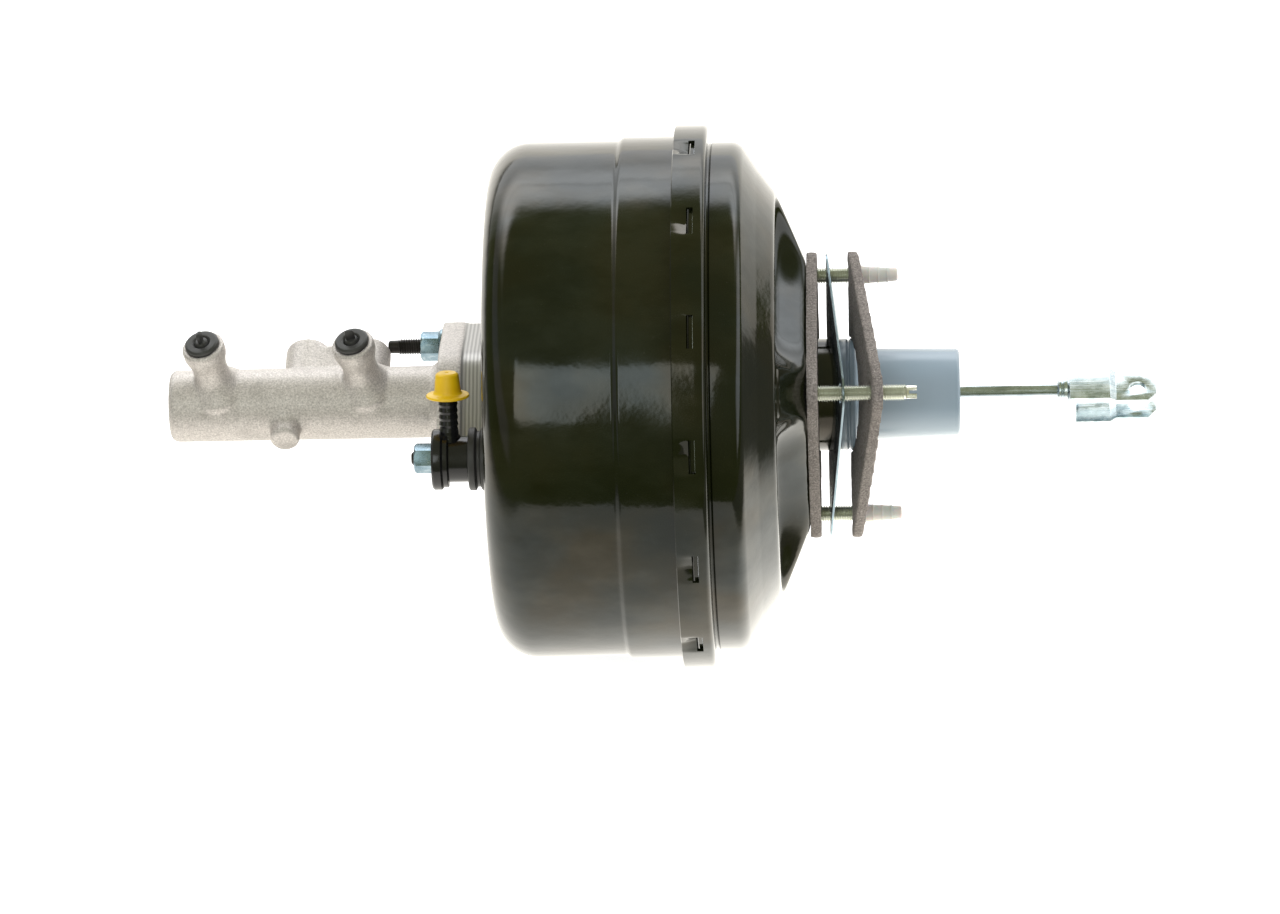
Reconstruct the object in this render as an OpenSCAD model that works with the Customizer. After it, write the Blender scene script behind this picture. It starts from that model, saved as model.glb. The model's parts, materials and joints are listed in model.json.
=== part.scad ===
// Tandem vacuum brake booster with its master cylinder.
// X runs along the booster axis towards the brake pedal, Z is up, the origin is the centre of the mounting pad.

/* [Shells] */
// Thickness of the drawn steel sheet
sheet = 1.6; // [1.2:0.1:2.2]
// Outer radius of the front shell
can_r = 128.5; // [127:0.5:129.5]
// How far the joggle widens the front shell
joggle_step = 1.8; // [1.2:0.1:2.4]
// Length of the front shell from its flange to its front face
can_len = 101.6; // [96:0.2:112]
// Radius of the rounded shoulder at the front face
can_corner_r = 20; // [12:1:26]
// Distance of the joggle from the front shell's flange
joggle_from_flange = 36.1; // [33:0.1:40]
// Radius of the opening in the front face for the master cylinder
pilot_hole_r = 20.6; // [20.5:0.1:23]

/* [Clinch band] */
// Height of the clinch band over the front shell
band_step = 5.4; // [4.8:0.1:7]
// Width of the clinch band
band_w = 16.4; // [15:0.2:20]
// Number of lances round the band
lance_count = 14; // [8:1:18]
// Width of a lance
lance_w = 14; // [8:0.5:18]
// Width of the slot cut behind each lance
lance_slot = 2.8; // [2:0.1:3.5]
// How far the free end of a lance is pressed inwards
lance_depth = 2.5; // [1.8:0.1:2.6]
// Thickness of the clamped rim of the rear diaphragm
bead_t = 3.2; // [2.6:0.1:4]

/* [Rear dish] */
// Step from the clinch band down to the rear shell's wall
dish_step = 8.7; // [7.8:0.1:9.6]
// Length of the rear shell's straight wall behind the band
dish_wall_l = 16.3; // [14:0.1:22]
// Axial height of the cone
cone_h = 16.6; // [14:0.2:20]
// Width of the cone, from the wall in to the ridge
cone_w = 26; // [23:0.5:29]
// Height of the mounting pad above the ridge
pad_h = 14.4; // [12:0.2:18]
// Depth of the floor below the ridge
floor_drop = 1.6; // [0.8:0.2:2.4]
// Side of the square mounting pad
pad_side = 108; // [104:1:114]
// Corner radius of the pad and of the gaskets on it
pad_corner_r = 12; // [8:1:16]
// Width of the ramps that run from the pad's corners to the ridge
ramp_w = 38; // [32:1:42]
// Radius of the corners between the pad's sides and the ramps
ramp_corner_r = 8; // [4:0.5:12]
// Outer radius of the neck round the push rod
neck_r = 28; // [27.5:0.1:28.5]
// Length of the neck behind the pad
neck_l = 16; // [15:0.5:19]

/* [Firewall studs] */
// Distance between firewall studs, both ways
stud_pitch = 84; // [80:0.5:88]
// Outer diameter of the stud threads
stud_d = 8; // [6:1:8]
// Length of thread behind the pad on the short studs
stud_short_l = 26.6; // [26.5:0.1:28]
// Length of thread behind the pad on the long stud
stud_long_l = 49; // [46:1:52]
// Diameter of the dog noses
dog_d = 6.6; // [5:0.1:6.8]
// Length of the slotted dog nose on the long stud
dog_l = 5; // [3:0.5:8]
// Diameter of the stud heads inside the shells
stud_head_d = 14; // [12:0.5:15]
// Thickness of the stud heads
stud_head_t = 2.5; // [2:0.1:3]
// How far the pressed shank of a stud stands out over its thread
stud_shank = 0.8; // [0.5:0.1:1]
// Outer diameter of a thread cap
cap_d = 10; // [9.6:0.2:11]
// Length of a thread cap
cap_l = 19; // [17:0.5:22]

/* [Gaskets] */
// Thickness of the foam gasket on the pad
gasket_t = 5.5; // [4.5:0.1:6.5]
// Thickness of the bowed foam gasket
outer_gasket_t = 5.5; // [5:0.1:6]
// Place of the bowed foam gasket at its straight diagonal
outer_gasket_x = 20.5; // [20:0.1:20.8]
// Bend radius of the bowed foam gasket along that diagonal
outer_gasket_bend = 40; // [32:1:50]
// Lean of each wing of the bowed foam gasket, in degrees
outer_gasket_lean = 10; // [8:0.5:11]
// Thickness of the spring plate
plate_t = 1; // [0.8:0.1:1.4]
// Place of the spring plate at its straight diagonal
plate_x = 9.6; // [8:0.2:10.4]
// Bend radius of the spring plate along that diagonal
plate_bend = 60; // [45:1:80]
// Lean of each wing of the spring plate, in degrees
plate_lean = 7; // [5:0.5:7.5]
// Margin of the spring plate inside the gasket outline
plate_margin = 1; // [0.5:0.1:2]

/* [Boot] */
// Outer radius of the boot at its flange
boot_flange_r = 28; // [27.5:0.1:28.2]
// Width of the boot flange
boot_flange_w = 8; // [6:0.5:8]
// Outer radius of the boot body at the flange
boot_r = 23; // [22.6:0.1:23.6]
// Outer radius of the boot body at its end
boot_end_r = 21.75; // [21.4:0.05:22.4]
// Length of the boot behind the neck
boot_l = 59.6; // [56:0.2:64]
// Corner radius at the end of the boot
boot_corner_r = 5.5; // [3:0.5:7]
// Wall of the boot
boot_wall = 1.6; // [1.2:0.1:2]
// Radius of the opening at the end of the boot
boot_hole_r = 7.6; // [7.5:0.1:9]

/* [Push rod] */
// Diameter of the push rod
rod_d = 7.4; // [7:0.1:7.6]
// Place of the clevis base along the axis
clevis_x = 130; // [127:0.5:134]
// Thickness of the collar nut
collar_t = 5.6; // [4:0.2:6]
// Outer diameter of the collar nut
collar_d = 13; // [11:0.5:15]
// Radius of the ball at the end of the rod
ball_r = 5.5; // [5:0.1:5.8]

/* [Clevis] */
// Length of the clevis
clevis_l = 43; // [40:0.5:46]
// Thickness of the clevis plate
clevis_t = 3; // [2.5:0.1:3.4]
// Width of the clevis at its base
clevis_w = 21; // [19:0.5:23]
// Width of the clevis at its tips
clevis_tip_w = 20; // [18:0.5:20.5]
// Sideways offset of the clevis from the rod
clevis_offset = 5; // [4:0.2:6]
// Gap between the ears at the base
clevis_base_gap = 13.3; // [12:0.1:15]
// Gap between the ears at the tips
clevis_tip_gap = 9; // [8.6:0.1:10]
// Length of the wide stretch of the clevis
clevis_wide_l = 20; // [18:0.5:22]
// Length of the joggle between the wide and the narrow stretch
clevis_joggle_l = 3; // [2:0.2:4]
// Distance of the pin hole from the ear tips
pin_from_tip = 9.4; // [8.5:0.1:11]
// Diameter of the pin hole
pin_hole_d = 8.2; // [8.1:0.05:8.5]
// Sideways distance of the pin hole from the middle of the ear
pin_offset = 1.2; // [0:0.2:2]
// Chamfer of the ear tips
ear_chamfer = 5.5; // [3:0.5:6.5]

/* [Power piston] */
// Travel of the power piston
stroke = 30; // [26:0.5:31]
// Outer radius of the valve body's sliding sleeve
sleeve_r = 26; // [25.5:0.1:26.3]
// Outer radius of the valve body's rear tube
tube_r = 19; // [18.8:0.1:19.4]
// Bore radius of the valve chamber
chamber_r = 15.5; // [15.2:0.1:15.8]
// Place of the end of the rear tube
tube_end_x = 48; // [46:0.5:52]
// Room outside the support plates for the loops of the diaphragms
loop_room = 21; // [20:0.5:25]
// Thickness of the support plates
support_t = 1.4; // [1.2:0.1:1.6]
// Thickness of the diaphragms
rubber_t = 1.8; // [1.6:0.1:2]
// Radius of the plunger nose
nose_r = 8; // [7.5:0.1:8.4]
// Radius of the plunger head
head_r = 11; // [10.8:0.1:11.2]
// Travel of the plunger in the valve body
valve_travel = 1.5; // [1:0.1:1.6]
// Radius of the reaction disc
reaction_r = 15; // [14:0.1:15.2]
// Thickness of the reaction disc
reaction_t = 6; // [5:0.2:7]
// Diameter of the output rod
output_d = 10; // [9:0.2:10.4]
// Wire diameter of the return spring
return_wire_d = 3.6; // [3:0.1:4]
// Mean radius of the return spring
return_r = 30; // [28.5:0.5:31]

/* [Master cylinder] */
// Outer radius of the cylinder casting
cyl_r = 18; // [17.5:0.1:19]
// Length of the casting in front of the booster
cyl_l = 162.9; // [158:0.1:170]
// Bore radius
bore_r = 11.9; // [11.4:0.1:12.4]
// Thickness of the end wall of the bore
bore_end_t = 5.4; // [4:0.2:7]
// Radius of the pilot that enters the booster
pilot_r = 20; // [19.5:0.1:20.2]
// Length of the pilot inside the booster
pilot_l = 14.5; // [12:0.5:16]
// Thickness of the two-ear flange
flange_t = 11.6; // [9:0.2:14]
// Thickness of the machined seat behind the flange
seat_t = 15.9; // [13:0.1:18]
// Distance of each cylinder stud from the axis
ear_pitch = 40; // [38:0.5:42]
// Radius of the flange ears
ear_r = 12; // [11:0.5:13]
// Radius of the middle of the flange
flange_mid_r = 28; // [24:0.5:32]
// Tip of the first cylinder stud in front of the booster
cyl_stud_a_l = 55.5; // [52:0.5:58]
// Tip of the second cylinder stud in front of the booster
cyl_stud_b_l = 40.5; // [40:0.5:46]
// Width across flats of the flange nuts
nut_af = 13; // [12:0.5:14]
// Height of the flange nuts
nut_h = 11.5; // [10:0.5:13]
// Height of the reservoir necks above the axis
port_h = 42; // [38:0.5:46]
// Outer radius of the neck rims
port_rim_r = 10.7; // [10.2:0.1:11.5]
// Lean of the reservoir necks towards the front
port_lean = 9; // [4:0.5:12]
// Distance of the front neck from the end of the casting, on the axis
port_front_from_end = 26; // [24:0.5:30]
// Distance between the two necks
port_pitch = 74.6; // [72:0.2:78]
// Radius of the side boss
side_boss_r = 7.4; // [6.5:0.1:8.5]
// Reach of the side boss from the axis
side_boss_reach = 26; // [23:0.5:29]
// Distance of the front outlet from the end of the casting
outlet_front_from_end = 67.4; // [66:0.2:70]
// Distance between the two outlets
outlet_pitch = 30; // [28:0.5:34]
// Radius of the outlet bosses
outlet_boss_r = 11.5; // [10:0.5:13]
// Reach of the outlet bosses from the axis
outlet_reach = 36; // [32:0.5:40]
// Radius of the tapped outlet holes
outlet_hole_r = 5.2; // [4.5:0.1:5.5]
// Outer radius of the reservoir grommets
grommet_r = 8.5; // [8:0.1:9]
// Hole radius of the reservoir grommets
grommet_hole_r = 3.75; // [3.2:0.05:4]

/* [Check valve] */
// Sideways place of the check valve
valve_y = -64; // [-67:0.5:-62]
// Height of the check valve
valve_z = 23; // [18:0.5:28]
// Outer radius of the valve body
valve_r = 11.25; // [10.5:0.05:12]
// Outer radius of the valve's front flange
valve_flange_r = 15; // [14:0.1:16]
// Length of the valve in front of the booster
valve_l = 27.5; // [25:0.5:30]
// Outer radius of the rubber grommet
valve_grommet_r = 15.5; // [14.5:0.1:17]
// Outer radius of the hose nozzle
nozzle_r = 4.75; // [4.2:0.05:5.2]
// Length of the nozzle from the valve axis
nozzle_l = 42; // [40:0.5:46]
// Angle of the nozzle above the Y direction
nozzle_angle = 60; // [45:1:75]
// Radius of the shipping cap's brim
brim_r = 10.75; // [9.5:0.05:12]
// Height of the shipping cap
hose_cap_h = 12.4; // [10:0.2:14]

/* [Hidden] */
$fn = 72;
// Clearance of a running fit
running = 0.05;
// Clearance between pieces that move past each other
free = 0.3;
// Clearance of a fastener in its hole
hole_gap = 1.3;

// Places along the axis, from the pad forwards
ridge_x = -pad_h;
cone_x = ridge_x - cone_h;
band_rear_x = cone_x - dish_wall_l;
band_front_x = band_rear_x - band_w;
shoulder_x = band_rear_x - sheet;
divider_flange_t = 1.2;
flange_rear_x = shoulder_x - bead_t - divider_flange_t;
flange_front_x = flange_rear_x - sheet;
front_face_x = flange_front_x - can_len;
front_inner_x = front_face_x + sheet;
joggle_x = flange_front_x - joggle_from_flange;
can_rear_r = can_r + joggle_step;
band_r = can_rear_r + band_step;
dish_r = band_r - dish_step;
ridge_r = dish_r - cone_w;
support_r = dish_r - loop_room;
band_inner_r = band_r - sheet;
flange_r = band_inner_r - 0.5;
can_inner_r = can_r - sheet;
can_rear_inner_r = can_rear_r - sheet;
dish_inner_r = dish_r - sheet;
floor_x = ridge_x - floor_drop;
stud_xy = stud_pitch / 2;
stud_r = stud_d / 2;
dog_r = dog_d / 2;
groove_d = 0.7;

// Room between the rear diaphragm and the rear shell's floor at rest
rear_room = 4.4;

// Divider
divider_rim_r = can_rear_inner_r - 0.2;
divider_front_x = joggle_x + 5;
divider_hub_r = sleeve_r + 4;
divider_hub_l = 8;
divider_hub_x = divider_front_x + 2;

// Valve body, from the sleeve forwards and backwards
plate_front_x = divider_front_x - 4.5 - support_t;
boss_r = 22.5;
boss_front_x = plate_front_x - 12.2;
pocket_floor_x = boss_front_x + 12;
flange_x = divider_hub_x + divider_hub_l + stroke + 2;
piston_flange_r = 38;
piston_flange_t = 6;
hub_r = 30;
hub_end_x = flange_x + piston_flange_t + 16;
cone_end_x = -5;
key_x = hub_end_x - 9;
key_t = 3;
seat_lip_x = -8.5;
poppet_x = seat_lip_x + 0.5;
ball_x = poppet_x - 9;
passage_r = 1.6;
passage_at = 17;

// Push rod
rod_r = rod_d / 2;
collar_x = clevis_x - 0.4 - collar_t;
spring_collar_x = 28;
retainer_x = poppet_x + 15;

// Master cylinder
cyl_end_x = front_face_x - cyl_l;
bore_end_x = cyl_end_x + bore_end_t;
pilot_end_x = front_face_x + pilot_l;
flange_back_x = front_face_x - seat_t;
flange_face_x = flange_back_x - flange_t;
port_x = [cyl_end_x + port_front_from_end, cyl_end_x + port_front_from_end + port_pitch];
side_boss_x = cyl_end_x + 58.4;
outlet_x = [cyl_end_x + outlet_front_from_end, cyl_end_x + outlet_front_from_end + outlet_pitch];
circlip_x = pilot_end_x - 8;
circlip_t = 1.5;
primary_rear_x = pilot_end_x - 4;
primary_front_x = primary_rear_x - 61;
primary_spring_l = 29;
secondary_rear_x = primary_front_x - primary_spring_l;
secondary_front_x = secondary_rear_x - 53;
secondary_cup_at = [3, 14, 47.5];
primary_cup_at = [3, 46];
socket_floor_x = primary_rear_x - 19;
cup_w = 5;
cup_root_r = bore_r - 3;
piston_r = bore_r - running;

// Check valve
valve_front_x = front_face_x - valve_l;
valve_grommet_x = front_face_x - 9.5;
nozzle_x = front_face_x - 19;
valve_wall = 2.2;
valve_neck_r = valve_r - 3.2;
valve_seat_x = front_face_x - 12;
valve_seat_t = 3;
valve_disc_r = valve_r - valve_wall - 1.5;
valve_disc_t = 2;

// Revolves a profile of [radius, x] points about the booster axis
module turned(points) {
    rotate([0, 90, 0]) rotate_extrude() polygon(points);
}

// A cylinder along the booster axis from x0 to x1
module rod_x(r, x0, x1) {
    translate([x0, 0, 0]) rotate([0, 90, 0]) cylinder(r = r, h = x1 - x0);
}

// A ring along the booster axis from x0 to x1
module ring_x(r_out, r_in, x0, x1) {
    turned([[r_in, x0], [r_out, x0], [r_out, x1], [r_in, x1]]);
}

// Extrudes a (Y, Z) outline along the booster axis from x0 to x1
module along_x(x0, x1) {
    translate([x0, 0, 0]) rotate([90, 0, 90]) linear_extrude(x1 - x0) children();
}

// Points on an arc
function arc(c, r, a0, a1, n = 6) =
    [for (i = [0:n]) c + r * [cos(a0 + (a1 - a0) * i / n), sin(a0 + (a1 - a0) * i / n)]];

// A square with rounded corners, centred
module rounded_square(side, r) {
    square([side - 2 * r, side], center = true);
    square([side, side - 2 * r], center = true);
    for (y = [-1, 1], z = [-1, 1]) translate([y, z] * (side / 2 - r)) circle(r = r);
}

// The (Y, Z) places of the four firewall studs: long, upper, lower, far
stud_places = [[-stud_xy, stud_xy], [stud_xy, stud_xy], [-stud_xy, -stud_xy], [stud_xy, -stud_xy]];

// A coil spring of round wire along X, as rings of points swept round its helix
module coil(r, wire_d, x0, x1, turns, sides = 6, per_turn = 12) {
    steps = turns * per_turn;
    pitch_x = (x1 - x0 - wire_d) / steps;
    rings = [for (i = [0:steps], k = [0:sides - 1])
        let (a = 360 * i / per_turn, b = 360 * k / sides, q = r + wire_d / 2 * cos(b))
        [x0 + wire_d / 2 + pitch_x * i + wire_d / 2 * sin(b), q * cos(a), q * sin(a)]];
    walls = [for (i = [0:steps - 1], k = [0:sides - 1])
        let (a = i * sides, b = a + sides, n = (k + 1) % sides) [a + k, b + k, b + n, a + n]];
    first = [for (k = [0:sides - 1]) k];
    last = [for (k = [sides - 1:-1:0]) steps * sides + k];
    polyhedron(points = rings, faces = concat([first], walls, [last]));
}

// The front shell's can: a flat face, a rounded shoulder, a joggle and an outward flange
module front_shell() {
    shoulder = arc([can_r - can_corner_r, front_face_x + can_corner_r], can_corner_r, -90, 0);
    inner_shoulder = arc([can_r - can_corner_r, front_face_x + can_corner_r], can_corner_r - sheet, 0, -90);
    rolled = arc([can_rear_r + 2, flange_rear_x - 2 - sheet], 2, 180, 90, 4);
    inner_rolled = arc([can_rear_r + 2, flange_rear_x - 2 - sheet], 2 + sheet, 90, 180, 4);
    color("#17171a") difference() {
        turned(concat(
            [[pilot_hole_r, front_face_x]], shoulder,
            [[can_r, joggle_x - 1.2], [can_rear_r, joggle_x + 1.2]], rolled,
            [[flange_r, flange_front_x], [flange_r, flange_rear_x]], inner_rolled,
            [[can_rear_inner_r, joggle_x + 1.2], [can_inner_r, joggle_x - 1.2]], inner_shoulder,
            [[pilot_hole_r, front_inner_x]]));
        for (s = [-1, 1]) translate([0, s * ear_pitch, 0])
            rod_x(stud_r + running, front_face_x - 1, front_inner_x + 1);
        translate([0, valve_y, valve_z]) rod_x(valve_r + 1, front_face_x - 1, front_inner_x + 1);
    }
}

// The solid form of the rear dish, inset by t on every face
module dish_form(t) {
    slope = [ridge_r - (dish_r - 3.5), ridge_x - cone_x];
    inward = t * [-slope[1], slope[0]] / norm(slope);
    neck_rear_x = neck_l + t;
    turned([[0, shoulder_x], [dish_r - t, shoulder_x],
        [dish_r - t, cone_x - 4], [dish_r - 1 - t, cone_x - 1.6], [dish_r - 3.5, cone_x] + inward,
        [ridge_r + 1.2, ridge_x - 0.9] + inward, [ridge_r - 1, ridge_x - t], [ridge_r - 3, ridge_x - 0.4 - t],
        [ridge_r - 5.5, floor_x - t], [0, floor_x - t]]);
    along_x(shoulder_x, -t) rounded_square(pad_side - 2 * t, pad_corner_r - t);
    intersection() {
        along_x(shoulder_x, -t) ramp_outline(t);
        turned([[0, shoulder_x], [ridge_r - t, shoulder_x], [ridge_r - t, ridge_x - t],
            [ramp_top_r() - t, -t], [0, -t]]);
    }
    rod_x(neck_r - t, shoulder_x, neck_rear_x);
}

// Radius at which the ramps leave the face of the pad
function ramp_top_r() = (pad_side / 2 - pad_corner_r) * sqrt(2) + pad_corner_r - 4.4;

// The recess beside one side of the pad, between two ramps, grown by t
module pocket_outline(t) {
    q = ramp_corner_r + t;
    side = pad_side / 2 - t;
    start = side - (ramp_w / 2 - t) * sqrt(2) - q * tan(22.5);
    reach = ridge_r * [1, 1];
    right = arc([start, side + q], q, -90, -45, 4);
    left = arc([-start, side + q], q, -135, -90, 4);
    polygon(concat(right, [right[4] + reach, [-right[4][0], right[4][1]] + [-reach[0], reach[1]]], left));
}

// The four ramps along the pad's diagonals, left standing between the recesses
module ramp_outline(t) {
    difference() {
        circle(r = ridge_r - t);
        for (a = [0:90:270]) rotate(a) pocket_outline(t);
    }
}

// One lance: a tab that hangs on the band's front edge and is pressed in towards its cut end
module lance_tab() {
    tip_x = flange_front_x - 0.1;
    rotate([90, 0, 0]) translate([0, 0, -lance_w / 2 + 0.5]) linear_extrude(lance_w - 1)
        polygon([[band_front_x, band_inner_r], [band_front_x, band_r - 0.1], [band_front_x + 1.5, band_r - 0.2],
            [tip_x, band_r - lance_depth], [tip_x, band_inner_r - lance_depth],
            [band_front_x + 1.5, band_inner_r - 0.3]]);
}

// Places its children at every lance; the near stud's diagonal lies midway between two lances
module at_lances() {
    for (i = [0:lance_count - 1]) rotate([45 + (i + 0.5) * 360 / lance_count, 0, 0]) children();
}

// The rear shell: clinch band with its lances, cone, ridge, square pad on four ramps and the neck
module rear_shell() {
    corner = arc([band_r - 3, band_rear_x - 3], 3, 0, 90, 4);
    color("#17171a") {
        difference() {
            union() {
                turned(concat([[0, band_front_x], [band_r, band_front_x]], corner,
                    [[dish_r - groove_d, band_rear_x], [0, band_rear_x]]));
                difference() {
                    dish_form(0);
                    ring_x(dish_r + 1, dish_r - groove_d, band_rear_x - 1, band_rear_x + 1.6);
                }
            }
            turned([[0, band_front_x - 1], [band_inner_r, band_front_x - 1], [band_inner_r, shoulder_x],
                [0, shoulder_x]]);
            dish_form(sheet);
            at_lances() translate([band_front_x + 1.2, -lance_w / 2, band_r - 8])
                cube([flange_front_x + lance_slot - band_front_x - 1.2, lance_w, 12]);
            for (p = stud_places) translate([0, p[0], p[1]]) rod_x(stud_r + stud_shank, -sheet - 1, 1);
        }
        at_lances() lance_tab();
    }
}

// The dished wall between the two vacuum chambers, with its rim skirt and its hub
module divider_plate() {
    t = divider_flange_t;
    color("#8d9196") turned([[flange_r - 0.4, flange_rear_x], [flange_r - 0.4, flange_rear_x + t],
        [divider_rim_r - t, flange_rear_x + t], [divider_rim_r - t, divider_front_x + t],
        [support_r - 6, divider_front_x + t], [divider_hub_r + 12, divider_hub_x + 2 + t],
        [divider_hub_r + t + 0.1, divider_hub_x + 2 + t], [divider_hub_r + t + 0.1, divider_hub_x + divider_hub_l],
        [divider_hub_r + 0.1, divider_hub_x + divider_hub_l], [divider_hub_r + 0.1, divider_hub_x + 2],
        [divider_hub_r + 12, divider_hub_x + 2], [support_r - 6, divider_front_x],
        [divider_rim_r, divider_front_x], [divider_rim_r, flange_rear_x]]);
}

// The lip seal in the divider's hub, running on the sleeve of the valve body
module divider_seal() {
    color("#2b2b2b") turned([[sleeve_r + running, divider_hub_x + 2], [divider_hub_r, divider_hub_x + 2],
        [divider_hub_r, divider_hub_x + divider_hub_l], [divider_hub_r - 1.5, divider_hub_x + divider_hub_l],
        [divider_hub_r - 1.5, divider_hub_x + 5], [sleeve_r + 1.6, divider_hub_x + 5],
        [sleeve_r + 1, divider_hub_x + divider_hub_l - 1], [sleeve_r + running, divider_hub_x + divider_hub_l - 1]]);
}

// A rolling diaphragm: hub bead, layer behind the support plate, one loop over the rim, outer bead
module diaphragm(hub_bead, back, rim_r, loop_x, wall_r, outer) {
    leg = rim_r + free;
    loop_r = (wall_r - leg) / 2;
    c = [leg + loop_r, loop_x];
    color("#26262a") turned(concat(hub_bead, [for (p = back) p], [[leg, back[len(back) - 1][1]]],
        arc(c, loop_r, 180, 360, 8), outer, arc(c, loop_r - rubber_t, 360, 180, 8),
        [[leg + rubber_t, back[len(back) - 1][1] + rubber_t - 1.2],
        [leg - 1.5, back[len(back) - 1][1] + rubber_t]],
        [for (i = [len(back) - 2:-1:0]) back[i] + [0, rubber_t]]));
}

// Front diaphragm, held between the joggle and the divider
module front_diaphragm() {
    x = plate_front_x + support_t + 0.1;
    hub = sleeve_r + 0.1;
    wall = can_inner_r - 4;
    diaphragm([[hub, x + 4], [hub, x]], [[hub + 5, x], [support_r - 3, x]], support_r, x - 24, wall,
        [[wall, joggle_x + 1], [can_inner_r - 0.2, joggle_x + 1.4], [can_inner_r - 0.2, divider_front_x - 0.1],
        [wall - rubber_t, divider_front_x - 0.1]]);
}

// Rear diaphragm, clamped in the clinch
module rear_diaphragm() {
    hub_x = flange_x + piston_flange_t + support_t + 0.1;
    back_x = floor_x - sheet - rear_room - rubber_t;
    wall = dish_inner_r - 0.4;
    diaphragm([[hub_r + 0.1, hub_x + 4], [hub_r + 0.1, hub_x]],
        [[hub_r + plate_dish_at - 1.6, hub_x], [hub_r + plate_dish_at + plate_dish_w - 1.6, back_x],
        [support_r - 3, back_x]], support_r, flange_rear_x - 1, wall,
        [[wall, flange_rear_x + divider_flange_t - 0.2 + 0.3], [flange_r - 0.6, flange_rear_x + divider_flange_t + 0.1],
        [flange_r - 0.6, shoulder_x - 0.1], [wall - rubber_t, shoulder_x - 0.1]]);
}

// Length of the rims rolled forwards on the support plates
plate_rim_l = [14, 12];
// Where the dish of the rear support plate starts outside its hub, and the width of the slope
plate_dish_at = 10.6;
plate_dish_w = 12;

// Front support plate with its rolled rim
module front_support_plate() {
    x = plate_front_x;
    rim_x = x - plate_rim_l[0];
    color("#9aa0a5") turned([[boss_r + 0.05, x], [support_r - support_t, x], [support_r - support_t, rim_x],
        [support_r, rim_x], [support_r, x + support_t - 1], [support_r - 1, x + support_t],
        [boss_r + 0.05, x + support_t]]);
}

// Rear support plate, dished to follow the rear shell
module rear_support_plate() {
    x = flange_x + piston_flange_t;
    back = floor_x - sheet - rear_room - rubber_t - 0.1 - support_t;
    t = support_t;
    rim_x = back - plate_rim_l[1];
    step_r = hub_r + plate_dish_at;
    flat_r = step_r + plate_dish_w;
    color("#9aa0a5") turned([[hub_r + 0.05, x], [step_r, x], [flat_r, back],
        [support_r - t, back], [support_r - t, rim_x], [support_r, rim_x], [support_r, back + t - 1],
        [support_r - 1, back + t], [flat_r - 1.2, back + t], [step_r - 1.2, x + t], [hub_r + 0.05, x + t]]);
}

// The valve body: boss, sliding sleeve, flange, hub and rear tube, with the valve chamber bored in it
module valve_body() {
    color("#b9b4a6") difference() {
        turned([[0, boss_front_x], [boss_r, boss_front_x], [boss_r, plate_front_x + support_t],
            [sleeve_r, plate_front_x + support_t], [sleeve_r, flange_x], [piston_flange_r, flange_x],
            [piston_flange_r, flange_x + piston_flange_t], [hub_r, flange_x + piston_flange_t],
            [hub_r, hub_end_x], [tube_r, cone_end_x], [tube_r, tube_end_x], [0, tube_end_x]]);
        rod_x(reaction_r + 0.2, boss_front_x - 1, pocket_floor_x);
        rod_x(nose_r + running, pocket_floor_x - 1, key_x);
        rod_x(head_r + 0.5, key_x - 2, seat_lip_x + 1);
        turned([[head_r + 2, seat_lip_x - 3.5], [passage_at + 1, seat_lip_x - 3.5], [chamber_r, seat_lip_x],
            [chamber_r, tube_end_x + 1], [0, tube_end_x + 1], [0, seat_lip_x], [head_r + 2, seat_lip_x]]);
        for (a = [30:120:270]) rotate([a, 0, 0]) translate([0, 0, passage_at])
            rod_x(passage_r, boss_front_x - 1, seat_lip_x - 2);
        translate([key_x, -5, -hub_r - 1]) cube([key_t + 0.1, 10, 2 * hub_r + 2]);
    }
}

// The bearing ring in the neck
module neck_bearing() {
    color("#d8d2c4") ring_x(neck_r - sheet - 0.05, tube_r + running, 6.5, neck_l - 4.5);
}

// The lip seal in the neck
module neck_seal() {
    color("#2b2b2b") turned([[tube_r + running, 0.5], [neck_r - sheet - 0.05, 0.5], [neck_r - sheet - 0.05, 6],
        [neck_r - sheet - 2, 6], [neck_r - sheet - 2, 2.2], [tube_r + 1.8, 2.2], [tube_r + 1.2, 5.4],
        [tube_r + running, 5.4]]);
}

// The foam air filter in the rear tube
module air_filter() {
    color("#4a4a48") ring_x(chamber_r - 0.05, rod_r + 2.9, tube_end_x - 14, tube_end_x - 3);
}

// The plunger: nose, neck for the key, head with the air seat and the socket for the rod's ball
module valve_plunger() {
    nose_x = pocket_floor_x + valve_travel + free;
    neck_x = key_x - 1.2;
    neck_end = key_x + key_t + valve_travel + 0.3;
    color("#c9ccd0") difference() {
        turned([[0, nose_x], [nose_r - 1, nose_x], [nose_r, nose_x + 1],
            [nose_r, neck_x], [4, neck_x], [4, neck_end], [head_r, neck_end], [head_r, poppet_x - 1.2],
            [head_r - 1.2, poppet_x - free], [0, poppet_x - free]]);
        translate([ball_x, 0, 0]) sphere(r = ball_r + running);
        rod_x(ball_r - 0.2, ball_x + 2, poppet_x + 1);
        turned([[0, poppet_x - 3], [ball_r - 0.3, poppet_x - 3], [head_r - 2.8, poppet_x], [0, poppet_x]]);
    }
}

// The key that limits the plunger's travel, forked to pass its neck
module stop_key() {
    color("#8d8f92") difference() {
        translate([key_x + 0.05, -4.9, -hub_r - 1.5]) cube([key_t, 9.8, 2 * hub_r - 2]);
        translate([key_x - 1, -4.3, -4.3]) cube([key_t + 2, 8.6, hub_r * 2]);
    }
}

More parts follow.
